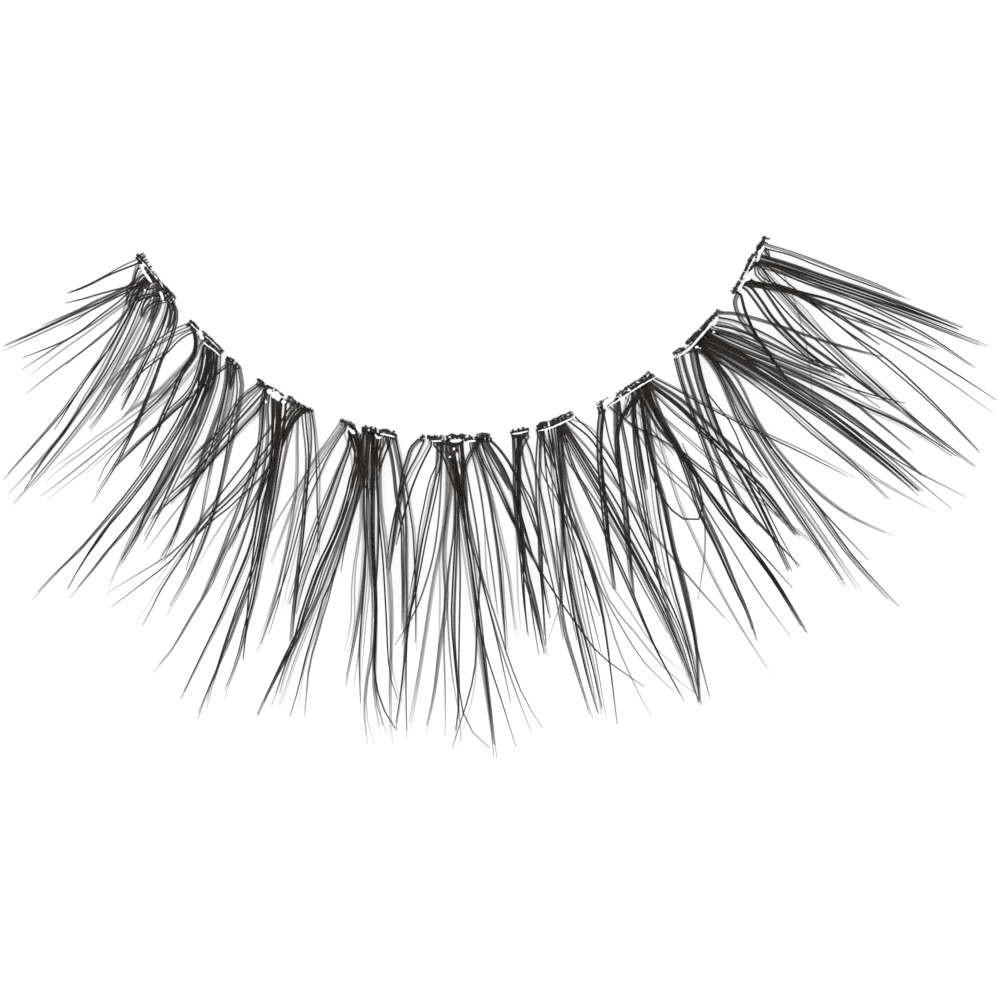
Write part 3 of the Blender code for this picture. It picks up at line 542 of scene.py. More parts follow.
        bundle(3, (6, 5, 4), (640, 393), (633, 405), (636, 430), (640, 455), (647, 490)),
        single((626, 398), (636, 411), (648, 425), (655, 442), (664, 458)),
        single((632, 396), (641, 408), (651, 428), (660, 440), (674, 455)),
        bundle(3, (5, 6, 7), (634, 395), (635, 430), (638, 460), (645, 500), (653, 545), (661, 580),
            (668, 602), (678, 628)),
        bundle(3, (10, 7, 4), (641, 392), (645, 425), (652, 455), (655, 485), (658, 512), (664, 545),
            (671, 581), (678, 604), (689, 643), (696, 668), (701, 705)),
        bundle(3, (5, 4, 3), (645, 391), (648, 432), (655, 470), (664, 500), (673, 548), (682, 576),
            (688, 600), (692, 620), (697, 650), (700, 706)),
        bundle(2, (3, 3, 2), (640, 394), (645, 430), (660, 490), (672, 545), (690, 620), (710, 698)),
        single((640, 398), (650, 470), (660, 493), (670, 508), (682, 518), (692, 521), (699, 519),
            (703, 511), (702, 497), (692, 465), (682, 443)),
        bundle(5, (5, 6, 3), (650, 389), (662, 420), (679, 450), (691, 480), (702, 512), (718, 545),
            (735, 585), (748, 613), (757, 641)),
        bundle(2, (4, 4, 2), (647, 390), (660, 440), (680, 505), (698, 544), (716, 582), (741, 627),
            (771, 674)),
        single((643, 394), (672, 440), (690, 478), (706, 508), (727, 541), (762, 598), (790, 636)),
        bundle(4, (5, 5, 4), (646, 391), (660, 420), (678, 448), (700, 480), (720, 510), (745, 540),
            (775, 580), (807, 633)),
        bundle(2, (2, 4, 3), (640, 395), (660, 430), (690, 460), (715, 480), (742, 505), (770, 535),
            (800, 567)),
        bundle(2, (2, 4, 3), (649, 389), (656, 409), (672, 425), (700, 450), (732, 477), (782, 519),
            (826, 553)),
        bundle(2, (3, 4, 4), (650, 388), (676, 414), (702, 434), (724, 452), (742, 470), (763, 497),
            (800, 540)),
        bundle(4, (3, 5, 5), (651, 385), (680, 407), (702, 430), (722, 449), (739, 466), (765, 492),
            (798, 537)),
        bundle(3, (3, 3, 4), (653, 382), (680, 399), (705, 421), (735, 449), (766, 480)),
        bundle(2, (2, 4, 6), (655, 378), (680, 391), (705, 405), (735, 420), (765, 434), (802, 451),
            (855, 478)),
        single((648, 390), (655, 452), (676, 476), (700, 500), (705, 545), (698, 600)),
        bundle(6, (14, 12, 8), (633, 396), (631, 403), (628, 411), (624, 419)),
    ],
    8: [
        bundle(3, (5, 5, 4), (676, 358), (681, 378), (688, 400), (697, 425), (710, 459), (727, 503),
            (745, 540)),
        bundle(4, (4, 5, 4), (682, 355), (685, 368), (693, 393), (704, 424), (717, 456), (737, 496),
            (762, 530)),
        bundle(6, (8, 8, 6), (693, 350), (697, 370), (703, 392), (712, 418), (722, 441), (742, 475),
            (763, 515), (790, 572)),
        single((696, 350), (701, 383), (717, 405), (731, 424), (750, 470), (772, 520), (798, 568)),
        bundle(4, (6, 7, 6), (699, 348), (711, 362), (720, 376), (727, 392), (738, 418), (760, 455),
            (795, 510), (849, 592)),
        bundle(3, (4, 6, 5), (702, 347), (716, 364), (726, 382), (742, 414), (763, 450), (790, 490),
            (825, 540), (859, 590)),
        bundle(3, (4, 5, 5), (704, 350), (726, 376), (748, 412), (775, 457), (812, 503), (850, 555),
            (898, 607)),
        bundle(2, (3, 3, 3), (706, 349), (735, 376), (762, 428), (800, 475), (845, 513), (893, 536)),
        single((706, 350), (727, 378), (750, 420), (785, 465), (820, 508), (868, 560)),
        bundle(2, (8, 8, 5), (703, 348), (720, 360), (740, 372), (778, 399), (815, 432), (860, 470),
            (890, 500)),
        bundle(2, (4, 5, 4), (705, 346), (735, 366), (775, 396), (820, 435), (870, 475), (935, 512)),
        bundle(8, (12, 10, 7), (706, 344), (735, 359), (760, 374), (795, 397), (820, 413), (850, 435),
            (890, 467), (921, 494)),
        single((710, 340), (745, 358), (785, 382), (830, 412), (880, 450), (952, 509)),
        single((711, 338), (750, 357), (795, 385), (850, 427), (900, 462), (966, 497)),
        bundle(4, (5, 7, 5), (711, 336), (738, 349), (780, 366), (820, 384), (860, 405), (905, 425),
            (960, 460)),
        bundle(2, (3, 3, 3), (712, 336), (745, 356), (800, 378), (850, 400), (875, 420), (913, 452)),
        bundle(2, (5, 6, 5), (713, 334), (735, 344), (775, 360), (820, 378), (860, 393), (905, 405)),
        single((714, 328), (735, 334), (765, 345), (800, 362), (840, 380), (880, 408)),
        bundle(2, (2, 2, 4), (715, 325), (735, 329), (767, 342), (804, 360), (845, 376)),
        bundle(2, (3, 3, 3), (718, 318), (737, 322), (770, 337), (805, 357), (845, 371)),
        bundle(2, (3, 3, 2), (719, 313), (737, 314), (778, 326), (820, 340), (882, 357)),
        bundle(5, (5, 7, 7), (682, 352), (694, 350), (708, 353), (722, 361), (740, 371), (760, 383)),
        bundle(2, (3, 5, 5), (716, 322), (728, 325), (742, 332), (758, 341), (775, 352)),
        bundle(3, (3, 4, 4), (711, 331), (730, 335), (752, 345), (775, 356)),
        bundle(4, (6, 6, 4), (709, 340), (740, 355), (775, 373), (810, 393), (845, 415), (885, 445),
            (925, 478)),
        bundle(3, (4, 5, 4), (712, 331), (735, 339), (765, 352), (800, 366), (840, 379)),
    ],
    9: [
        bundle(3, (4, 4, 3), (738, 294), (735, 302), (739, 315), (752, 334), (770, 352)),
        bundle(2, (2, 3, 3), (741, 295), (746, 313), (757, 336), (775, 363), (790, 385)),
        bundle(2, (2, 3, 3), (747, 290), (757, 303), (768, 318), (786, 337), (815, 362), (832, 373)),
        bundle(2, (2, 3, 4), (753, 289), (763, 303), (773, 318), (796, 341), (818, 360), (845, 378)),
        bundle(2, (2, 3, 3), (763, 288), (783, 317), (801, 338), (830, 360), (870, 390), (900, 410)),
        single((768, 290), (785, 310), (801, 326), (840, 362), (885, 400)),
        bundle(3, (6, 6, 3), (759, 268), (770, 284), (786, 301), (802, 319), (830, 345), (865, 378),
            (905, 413), (975, 467)),
        bundle(2, (4, 5, 4), (762, 266), (788, 295), (812, 322), (845, 354), (885, 389), (925, 428),
            (960, 458)),
        single((763, 262), (790, 285), (814, 304), (836, 323), (880, 359), (925, 398), (980, 453)),
        single((744, 284), (770, 286), (790, 292), (812, 304), (845, 330), (885, 357), (925, 394),
            (978, 450)),
        bundle(3, (5, 7, 5), (744, 283), (770, 286), (792, 291), (818, 303), (850, 315), (895, 332),
            (940, 350)),
        bundle(2, (3, 3, 2), (745, 281), (775, 286), (806, 293), (830, 299), (865, 313), (905, 330)),
        single((742, 285), (775, 290), (815, 300), (860, 320), (905, 343), (950, 370), (996, 400)),
        single((744, 284), (790, 290), (840, 318), (900, 350), (950, 382), (993, 413)),
        bundle(8, (9, 8, 8), (760, 259), (778, 264), (800, 271), (822, 279), (850, 288), (885, 300),
            (962, 330)),
        bundle(4, (7, 6, 9), (760, 264), (785, 272), (803, 279), (832, 289), (870, 302), (920, 320),
            (988, 347)),
        bundle(2, (5, 5, 5), (762, 263), (785, 273), (805, 282), (845, 297), (880, 312), (930, 338),
            (975, 368)),
        bundle(2, (6, 5, 3), (758, 264), (756, 272), (765, 281), (790, 290), (815, 302), (845, 320),
            (880, 345)),
        single((767, 249), (790, 255), (815, 265), (845, 276), (872, 286), (900, 297)),
        bundle(2, (3, 3, 2), (767, 245), (790, 252), (816, 261), (846, 273), (880, 286), (910, 300)),
        single((768, 258), (776, 262), (787, 282), (797, 308), (804, 335), (808, 355), (813, 400)),
        single((768, 290), (788, 295), (806, 310), (821, 328), (836, 346)),
    ],
}

# Ties along the bars, charted as strands are
TIES = {
    1: [
        bundle(3, (2, 3, 2), (137, 254), (143, 261), (148, 268), (154, 276), (160, 283), (167, 290),
            (172, 296)),
        bundle(2, (2, 2, 2), (136, 257), (138, 260), (141, 264)),
        bundle(2, (2, 3, 2), (145, 267), (152, 275), (156, 281), (162, 289), (169, 297), (175, 304)),
        bundle(2, (2, 3, 3), (163, 285), (168, 290), (176, 299)),
    ],
    2: [
        bundle(2, (2, 2, 2), (190, 320), (194, 324), (199, 329)),
        bundle(2, (2, 2, 2), (188, 323), (192, 327), (196, 331)),
        bundle(2, (2, 2, 2), (202, 331), (210, 338), (218, 346), (224, 352)),
        bundle(3, (3, 4, 3), (202, 335), (208, 341), (215, 348), (222, 354)),
        bundle(4, (4, 5, 4), (226, 358), (230, 360), (234, 362)),
        bundle(2, (3, 3, 3), (235, 363), (238, 365), (240, 367)),
    ],
    3: [
        bundle(2, (2, 2, 2), (257, 379), (262, 382), (266, 386)),
        bundle(3, (3, 3, 2), (259, 383), (264, 386), (270, 387)),
        bundle(2, (2, 2, 1), (266, 386), (272, 388), (279, 393), (284, 396)),
        bundle(4, (6, 8, 6), (287, 398), (291, 400), (295, 404)),
        bundle(2, (3, 3, 2), (297, 403), (302, 406), (307, 409), (313, 411)),
    ],
    4: [
        bundle(3, (3, 4, 3), (340, 420), (347, 423), (355, 426)),
        bundle(4, (4, 5, 4), (362, 428), (369, 430), (377, 431)),
        bundle(3, (3, 4, 2), (379, 431), (386, 431), (392, 434), (397, 436)),
        single((362, 433), (368, 435), (373, 436)),
        single((384, 436), (390, 438), (396, 439)),
    ],
    5: [
        bundle(2, (3, 3, 2), (420, 438), (422, 437), (425, 437)),
        bundle(4, (3, 4, 4), (427, 437), (432, 438), (438, 438)),
        bundle(2, (2, 2, 2), (438, 439), (440, 438), (442, 437)),
        bundle(4, (4, 4, 3), (446, 438), (452, 436), (458, 437)),
        bundle(4, (4, 5, 4), (459, 437), (462, 436), (465, 436)),
        bundle(3, (3, 3, 3), (464, 440), (468, 439), (473, 438)),
        bundle(4, (4, 5, 4), (475, 439), (480, 436), (485, 435), (490, 437)),
        bundle(2, (2, 2, 2), (437, 444), (450, 444), (463, 444)),
        bundle(2, (2, 3, 3), (476, 442), (483, 441), (491, 441)),
    ],
    6: [
        bundle(2, (2, 2, 2), (510, 433), (519, 431), (529, 429)),
        bundle(2, (2, 2, 2), (512, 437), (519, 436), (527, 435)),
        bundle(4, (5, 6, 5), (537, 428), (542, 425), (547, 423)),
        bundle(4, (6, 7, 5), (550, 424), (556, 421), (565, 417), (573, 413)),
        single((539, 430), (550, 427), (562, 423)),
    ],
    7: [
        single((598, 405), (604, 401), (612, 398)),
        bundle(2, (2, 2, 2), (616, 396), (624, 390), (634, 383), (642, 379), (649, 371)),
        bundle(3, (3, 3, 2), (622, 396), (633, 388), (645, 381), (653, 374)),
        bundle(2, (3, 3, 3), (598, 413), (602, 412), (606, 410)),
    ],
    8: [
        bundle(3, (4, 4, 3), (673, 354), (678, 351), (685, 348)),
        bundle(4, (3, 4, 3), (686, 344), (693, 337), (700, 331), (706, 324), (711, 318)),
        bundle(3, (3, 3, 3), (711, 319), (715, 315), (719, 310)),
        single((692, 341), (700, 334), (707, 326)),
    ],
    9: [
        bundle(3, (3, 3, 3), (733, 294), (736, 288), (740, 281)),
        bundle(2, (2, 3, 2), (741, 280), (743, 275), (745, 272)),
        bundle(3, (3, 3, 3), (745, 271), (748, 265), (751, 259)),
        bundle(3, (4, 4, 3), (749, 262), (752, 257), (754, 254)),
        bundle(2, (2, 2, 2), (755, 256), (757, 251), (758, 246)),
        bundle(3, (5, 4, 2), (758, 248), (762, 243), (765, 236)),
        bundle(2, (2, 2, 2), (750, 270), (755, 264), (759, 257)),
        bundle(3, (4, 5, 4), (765, 249), (767, 253), (769, 258)),
    ],
}

# Beads of clear glue drawn out along the bars, coloured white as a painted highlight: their width and what
# their middle passes, in pixels
Bead = namedtuple("Bead", "width path")

BEADS = {
    1: [
        Bead(3.4, ((141, 264), (143, 270), (147, 276), (152, 283))),
        Bead(1.6, ((139, 258), (145, 265), (152, 273), (159, 281), (165, 290))),
        Bead(3.4, ((160, 291), (162, 296), (163, 301))),
    ],
    2: [
        Bead(1.4, ((190, 323), (194, 327), (198, 331))),
        Bead(4.4, ((199, 330), (201, 335), (203, 340))),
        Bead(2.0, ((203, 342), (208, 346), (214, 350), (220, 356))),
        Bead(1.4, ((205, 336), (212, 342), (220, 350))),
    ],
    3: [
        Bead(1.8, ((262, 379), (268, 384), (276, 388))),
        Bead(3.0, ((270, 391), (274, 396), (279, 401))),
        Bead(2.0, ((290, 396), (299, 401), (307, 405), (314, 408))),
    ],
    4: [
        Bead(3.0, ((348, 428), (351, 430), (354, 434))),
        Bead(4.4, ((357, 424), (359, 429), (361, 434))),
        Bead(3.0, ((375, 434), (378, 438), (382, 437))),
        Bead(2.0, ((380, 434), (387, 435), (395, 437))),
    ],
    5: [
        Bead(1.8, ((431, 441), (436, 441), (442, 441))),
        Bead(3.4, ((450, 441), (456, 441), (462, 440))),
        Bead(2.6, ((466, 442), (471, 441), (476, 441))),
        Bead(2.4, ((457, 452), (458, 462), (460, 474))),
    ],
    6: [
        Bead(3.4, ((529, 428), (533, 431), (536, 435))),
        Bead(1.8, ((512, 434), (520, 433), (528, 431))),
        Bead(2.2, ((538, 431), (550, 428), (562, 423), (573, 418))),
        Bead(2.0, ((548, 421), (549, 424), (549, 427))),
    ],
    7: [
        Bead(4.0, ((603, 405), (609, 401), (615, 397))),
        Bead(2.0, ((608, 407), (625, 396), (640, 386), (656, 377))),
    ],
    8: [
        Bead(2.8, ((676, 358), (690, 348), (700, 337), (708, 328), (718, 316))),
        Bead(2.6, ((713, 326), (716, 322), (718, 317))),
    ],
    9: [
        Bead(3.2, ((738, 291), (743, 283), (749, 276), (754, 268))),
        Bead(3.4, ((757, 262), (760, 254), (764, 246))),
        Bead(1.6, ((741, 282), (746, 273), (751, 264), (756, 254))),
    ],
}

# The drops are white: painted highlights on the glue
# Drops of set glue. middle: its pixel. length and width in pixels, turn: degrees of its length from
# the photo's right, clockwise
Drop = namedtuple("Drop", "middle length width turn")

DROPS = {
    1: [Drop((142, 266), 5, 4, 50), Drop((145, 290), 2.4, 2, 0), Drop((178, 303), 4, 3, 40)],
    2: [Drop((201, 334), 6, 4, 60)],
    3: [
        Drop((277, 396), 11, 8, 40),
        Drop((270, 392), 6, 5, 35),
        Drop((266, 402), 3, 2.4, 90),
        Drop((284, 402), 5, 4, 0),
    ],
    4: [
        Drop((353, 432), 5, 4, 30),
        Drop((359, 429), 6, 5, 60),
        Drop((369, 430), 2, 2, 0),
        Drop((358, 448), 7, 2, 90),
    ],
    5: [Drop((454, 449), 3, 2.4, 90), Drop((450, 457), 2.4, 2.4, 0)],
    6: [Drop((533, 431), 6, 5, 100), Drop((540, 446), 4, 3, 90)],
    7: [Drop((607, 402), 9, 6, -30), Drop((629, 390), 4, 3, 0), Drop((637, 382), 3, 2, 0)],
    8: [Drop((697, 347), 4, 2.6, 0), Drop((701, 348), 3, 2, 0), Drop((714, 332), 2.6, 2.4, 0)],
    9: [Drop((748, 277), 8, 6, -60), Drop((760, 252), 6, 4, -60)],
}


def mix(first, second, share):
    """Straight mix of two numbers or vectors."""
    return first * (1.0 - share) + second * share


def smooth(share):
    """Smooth step from 0 to 1."""
    share = min(max(share, 0.0), 1.0)
    return share * share * (3.0 - 2.0 * share)


def plan_of(pixel):
    """Point of the floor under a pixel of the photograph."""
    across = (pixel[0] - ORIGIN_PIXEL[0]) * PIXEL
    up = (ORIGIN_PIXEL[1] - pixel[1]) * PIXEL
    turn_cos = math.cos(PHOTO_TURN)
    turn_sin = math.sin(PHOTO_TURN)
    return Vector((across * turn_cos + up * turn_sin, up * turn_cos - across * turn_sin))


CAMERA_PLAN = plan_of((PHOTO_SIZE / 2, PHOTO_SIZE / 2))
BAND_CENTRE = Vector((0.0, BAND_RADIUS))


def at_pixel(pixel, height):
    """Point at a height that the camera sees at a pixel."""
    plan = mix(plan_of(pixel), CAMERA_PLAN, height / CAMERA_HEIGHT)
    return Vector((plan.x, plan.y, height))


def pixel_of(point):
    """Pixel of the photograph where the camera sees a point."""
    plan = mix(CAMERA_PLAN, point.xy, CAMERA_HEIGHT / (CAMERA_HEIGHT - point.z))
    turn_cos = math.cos(PHOTO_TURN)
    turn_sin = math.sin(PHOTO_TURN)
    across = plan.x * turn_cos - plan.y * turn_sin
    up = plan.x * turn_sin + plan.y * turn_cos
    return (ORIGIN_PIXEL[0] + across / PIXEL, ORIGIN_PIXEL[1] - up / PIXEL)


def out_from_band(point):
    """How far out from the band's middle line a point lies, in plan."""
    return (point.xy - BAND_CENTRE).length - BAND_RADIUS


def band_point(angle, out, height):
    """Point at an angle along the band, a distance out from its middle line."""
    reach = BAND_RADIUS + out
    return Vector((math.sin(angle) * reach, BAND_RADIUS - math.cos(angle) * reach, height))


def bar_angle(cluster, share):
    """Angle along the band of a share of a cluster's bar."""
    line = mix(cluster.start, cluster.end, share) - 0.5
    return line * LASH_LINE_LENGTH / BAND_RADIUS


def lash_height(out, layer):
    """Height of a lash over the floor, from how far out it is: down to the floor, then up."""
    if out < TOUCH_OUT:
        height = LOWEST + (ROOT_HEIGHT - LOWEST) * (1.0 - out / TOUCH_OUT) ** 2
    else:
        height = LOWEST + CURL_HEIGHT * ((out - TOUCH_OUT) / (LASH_LENGTH - TOUCH_OUT)) ** 2
    return height + layer * LAYER_STEP * smooth((out - ROOT_OUT) / LAYER_LIFT_OUT)


def knots_of(path):
    """Distance along a path of each of its points."""
    places = [0.0]
    for first, second in zip(path, path[1:]):
        places.append(places[-1] + (second - first).length)
    return places


def along_path(path, places, share):
    """Point on the smooth curve through a path, and its direction, at a share of its length."""
    place = share * places[-1]
    index = 0
    while index < len(path) - 2 and places[index + 1] < place:
        index += 1
    slopes = []
    for corner in (index, index + 1):
        before = max(corner - 1, 0)
        after = min(corner + 1, len(path) - 1)
        slopes.append((path[after] - path[before]) / (places[after] - places[before]))
    span = places[index + 1] - places[index]
    t = (place - places[index]) / span
    point = path[index] * (2 * t ** 3 - 3 * t ** 2 + 1)
    point = point + slopes[0] * (span * (t ** 3 - 2 * t ** 2 + t))
    point = point + path[index + 1] * (3 * t ** 2 - 2 * t ** 3)
    point = point + slopes[1] * (span * (t ** 3 - t ** 2))
    return point, mix(slopes[0], slopes[1], t).normalized()


def bundle_width(widths, share):
    """Width of a bundle at a share of its length."""
    if share < 0.5:
        return mix(widths[0], widths[1], smooth(share * 2.0))
    return mix(widths[1], widths[2], smooth(share * 2.0 - 1.0))


def strand_lines(strand, layer, rng):
    """The hairs of one strand, each as points, radii and a tone."""
    path = [Vector(pixel) for pixel in strand.path]
    places = knots_of(path)
    strand_lift = rng.uniform(0.0, LIFT_SPREAD)
    lines = []
    for index in range(strand.hairs):
        root = (index + 0.5) / strand.hairs - 0.5
        middle = root + rng.gauss(0.0, MIDDLE_SHUFFLE)
        tip = mix(root, rng.uniform(-0.5, 0.5), TIP_SHUFFLE)
        length = 1.0 - rng.uniform(0.0, LENGTH_SPREAD) * min(index, 1)
        lift = strand_lift + rng.uniform(0.0, LIFT_SPREAD)
        wave = rng.uniform(0.0, FULL_TURN)
        radius = HAIR_RADIUS * rng.uniform(1.0 - RADIUS_SPREAD, 1.0 + RADIUS_SPREAD)
        points = []
        for station in range(HAIR_STATIONS):
            share = (station / (HAIR_STATIONS - 1)) ** ROOT_CROWDING * length
            pixel, heading = along_path(path, places, share)
            sideways = Vector((-heading.y, heading.x))
            offset = mix(mix(root, middle, smooth(share * 2.0)), tip, smooth(share * 2.0 - 1.0))
            offset = offset * bundle_width(strand.widths, share) * SPREAD_SCALE
            offset += SIDE_JITTER * math.sin(wave + share * JITTER_WAVE) * smooth(share * JITTER_ONSET)
            pixel = pixel + sideways * offset
            out = out_from_band(at_pixel(pixel, 0.0))
            height = lash_height(out, layer)
            out = out_from_band(at_pixel(pixel, height))
            height = lash_height(out, layer) + lift * smooth((out - ROOT_OUT) / LAYER_LIFT_OUT)
            points.append(at_pixel(pixel, height))
        points.insert(0, band_point(angle_of(points[0]), ROOT_INSIDE, ROOT_HEIGHT))
        radii = hair_radii(len(points), radius)
        lines.append((points, radii, rng.uniform(0.0, 1.0)))
    return lines


def hair_radii(count, radius):
    """Radii of a hair: even, then drawn out to its fine tip."""
    radii = []
    for index in range(count):
        share = index / (count - 1)
        taper = smooth((share - TAPER_START) / (1.0 - TAPER_START))
        radii.append(radius * mix(1.0, HAIR_TIP_SHARE, taper))
    return radii


def angle_of(point):
    """Angle along the band of a point."""
    return math.atan2(point.x, BAND_RADIUS - point.y)


def tie_lines(ties, rng):
    """The hairs that are knotted along the top of the band, and the short ones that arch under them."""
    lines = []
    for tie in ties:
        path = [Vector(pixel) for pixel in tie.path]
        places = knots_of(path)
        for index in range(tie.hairs):
            lines.append(tie_line(tie, path, places, index, rng))
        along = WRAP_PITCH / 2
        while along < places[-1]:
            pixel = along_path(path, places, along / places[-1])[0]
            lines.append(wrap_line(angle_of(at_pixel(pixel, WRAP_HEIGHT)), rng))
            along += WRAP_PITCH * rng.uniform(1.0 - WRAP_PITCH_SPREAD, 1.0 + WRAP_PITCH_SPREAD)
    return lines


def tie_line(tie, path, places, index, rng):
    """One hair of a tie, waving in and out among its neighbours."""
    root = (index + 0.5) / tie.hairs - 0.5
    count = max(4, round(places[-1] / TIE_STEP))
    phase = rng.uniform(0.0, FULL_TURN)
    points = []
    for step in range(count + 1):
        share = step / count
        pixel, heading = along_path(path, places, share)
        sideways = Vector((-heading.y, heading.x))
        turn = phase + FULL_TURN * TIE_TURNS * share * places[-1]
        offset = root * bundle_width(tie.widths, share) + TIE_WAVE * math.sin(turn)
        height = TIE_HEIGHT + TIE_WAVE * PIXEL * math.cos(turn)
        points.append(at_pixel(pixel + sideways * offset, height))
    return points, [HAIR_RADIUS] * len(points), rng.uniform(0.0, TIE_TONE)


def wrap_line(angle, rng):
    """One wrap: an arch over the band from foot to foot, slanting along it."""
    slant = WRAP_SLANT * rng.uniform(-1.0, 1.0) / BAND_RADIUS
    half = WRAP_HALF * rng.uniform(*WRAP_HALF_SPREAD)
    points = []
    for index in range(WRAP_POINTS):
        turn = math.pi * index / (WRAP_POINTS - 1)
        lift = WRAP_FOOT + (WRAP_HEIGHT - WRAP_FOOT) * math.sin(turn) ** WRAP_ROUNDNESS
        place = angle + slant * (index / (WRAP_POINTS - 1) - 0.5)
        points.append(band_point(place, -half * math.cos(turn), lift))
    return points, [HAIR_RADIUS] * WRAP_POINTS, rng.uniform(0.0, 1.0)


def glue_lines(beads, rng):
    """The beads of glue that are drawn out along a bar, uneven in width; white, they stand as a painted
    highlight.
    """
    lines = []
    for bead in beads:
        path = [Vector(pixel) for pixel in bead.path]
        places = knots_of(path)
        count = max(4, round(places[-1] / GLUE_STEP))
        points = []
        radii = []
        for index in range(count + 1):
            share = index / count
            points.append(at_pixel(along_path(path, places, share)[0], GLUE_HEIGHT))
            end = mix(GLUE_END_WIDTH, 1.0, smooth(min(share, 1.0 - share) * GLUE_END_RUN))
            swell = rng.uniform(*GLUE_SWELL) * end
            radii.append(bead.width / 2 * PIXEL * swell)
        lines.append((points, radii, 0.5))
    return lines


def tube_mesh(name, lines, sides):
    """One mesh of closed tubes, with the lengthwise place and the tone of each for its material."""
    vertices = []
    faces = []
    uvs = []
    tones = []
    shares = []
    for points, radii, tone in lines:
        first = len(vertices)
        normal = None
        run = 0.0
        runs = []
        for index, point in enumerate(points):
            before = points[max(index - 1, 0)]
            after = points[min(index + 1, len(points) - 1)]
            tangent = (after - before).normalized()
            if normal is None:
                normal = tangent.orthogonal().normalized()
            else:
                normal = (normal - tangent * normal.dot(tangent)).normalized()
                run += (point - points[index - 1]).length
            runs.append(run * MILLIMETRES)
            across = tangent.cross(normal)
            for side in range(sides):
                turn = FULL_TURN * side / sides
                vertices.append(point + (normal * math.cos(turn) + across * math.sin(turn)) * radii[index])
                tones.append(tone)
                shares.append(index / (len(points) - 1))
        for index in range(len(points) - 1):
            ring = first + index * sides
            low = runs[index]
            high = runs[index + 1]
            for side in range(sides):
                other = (side + 1) % sides
                faces.append((ring + side, ring + other, ring + sides + other, ring + sides + side))
                left = side / sides
                right = (side + 1) / sides
                uvs += [left, low, right, low, right, high, left, high]
        last = first + (len(points) - 1) * sides
        faces.append(tuple(first + side for side in reversed(range(sides))))
        faces.append(tuple(last + side for side in range(sides)))
        uvs += [0.0, runs[0]] * sides
        uvs += [0.0, runs[-1]] * sides
    mesh = bpy.data.meshes.new(name)
    mesh.from_pydata(vertices, [], faces)
    mesh.uv_layers.new(name="UVMap").data.foreach_set("uv", uvs)
    mesh.attributes.new("tone", "FLOAT", "POINT").data.foreach_set("value", tones)
    mesh.attributes.new("share", "FLOAT", "POINT").data.foreach_set("value", shares)
    mesh.polygons.foreach_set("use_smooth", [True] * len(mesh.polygons))
    mesh.update()
    return mesh


def nick_drops(cluster, rng):
    """Small beads of glue between the knots, white as painted highlights where the glue catches the light.
    """
    bar_length = (cluster.end - cluster.start) * LASH_LINE_LENGTH
    drops = []
    for index in range(1, int(bar_length / NICK_PITCH)):
        if rng.random() > NICK_CHANCE:
            continue
        along = (index + rng.uniform(-NICK_PITCH_SPREAD, NICK_PITCH_SPREAD)) * NICK_PITCH
        angle = bar_angle(cluster, along / bar_length)
        place = band_point(angle, NICK_OUT + rng.uniform(-NICK_STRAY, NICK_STRAY), DROP_HEIGHT)
        turn = rng.uniform(0.0, 180.0)
        length = NICK_LENGTH * rng.uniform(*NICK_LENGTH_SPREAD)
        drops.append(Drop(pixel_of(place), length, NICK_WIDTH, turn))
    return drops


def drop_mesh(name, drops, rng):
    """One mesh of all of a cluster's drops of glue, each uneven and flattened."""
    work = bmesh.new()
    for drop in drops:
        made = bmesh.ops.create_icosphere(work, subdivisions=DROP_SUBDIVISIONS, radius=1.0)
        middle = at_pixel(drop.middle, DROP_HEIGHT)
        turn = math.radians(-drop.turn) - PHOTO_TURN
        lean = rng.uniform(0.0, FULL_TURN)
        for vertex in made["verts"]:
            place = vertex.co
            wave = math.sin(place.x * DROP_BUMP_WAVES[0] + lean)
            bump = 1.0 + DROP_BUMP * wave * math.cos(place.y * DROP_BUMP_WAVES[1] - lean)
            along = place.x * drop.length / 2 * PIXEL * bump
            side = place.y * drop.width / 2 * PIXEL * bump
            vertex.co = Vector((
                middle.x + along * math.cos(turn) - side * math.sin(turn),
                middle.y + along * math.sin(turn) + side * math.cos(turn),
                middle.z + place.z * drop.width / 2 * PIXEL * bump * DROP_FLATNESS,
            ))
    mesh = bpy.data.meshes.new(name)
    work.to_mesh(mesh)
    work.free()
    mesh.polygons.foreach_set("use_smooth", [True] * len(mesh.polygons))
    return mesh


def add_piece(name, mesh, material):
    """Show a mesh as a piece of the part, on its one body."""
    piece = bpy.data.objects.new(name, mesh)
    bpy.context.scene.collection.objects.link(piece)
    mesh.materials.append(material)
    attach(piece, "root")
    return piece


def new_material(name):
    """Material with its shader, and a function that adds a node to it."""
    material = bpy.data.materials.new(name)
    material.use_nodes = True
    tree = material.node_tree
    shader = tree.nodes["Principled BSDF"]

    def add(kind, **values):
        node = tree.nodes.new(kind)
        for key, value in values.items():
            node.inputs[key.replace("_", " ")].default_value = value
        return node

    return material, tree.links, shader, add


def ramp_of(add, stops):
    """Colour ramp from its stops, each a place and a colour."""
    ramp = add("ShaderNodeValToRGB")
    elements = ramp.color_ramp.elements
    while len(elements) < len(stops):
        elements.new(0.5)
    for element, (place, colour) in zip(elements, stops):
        element.position = place
        element.color = (*colour, 1.0)
    return ramp


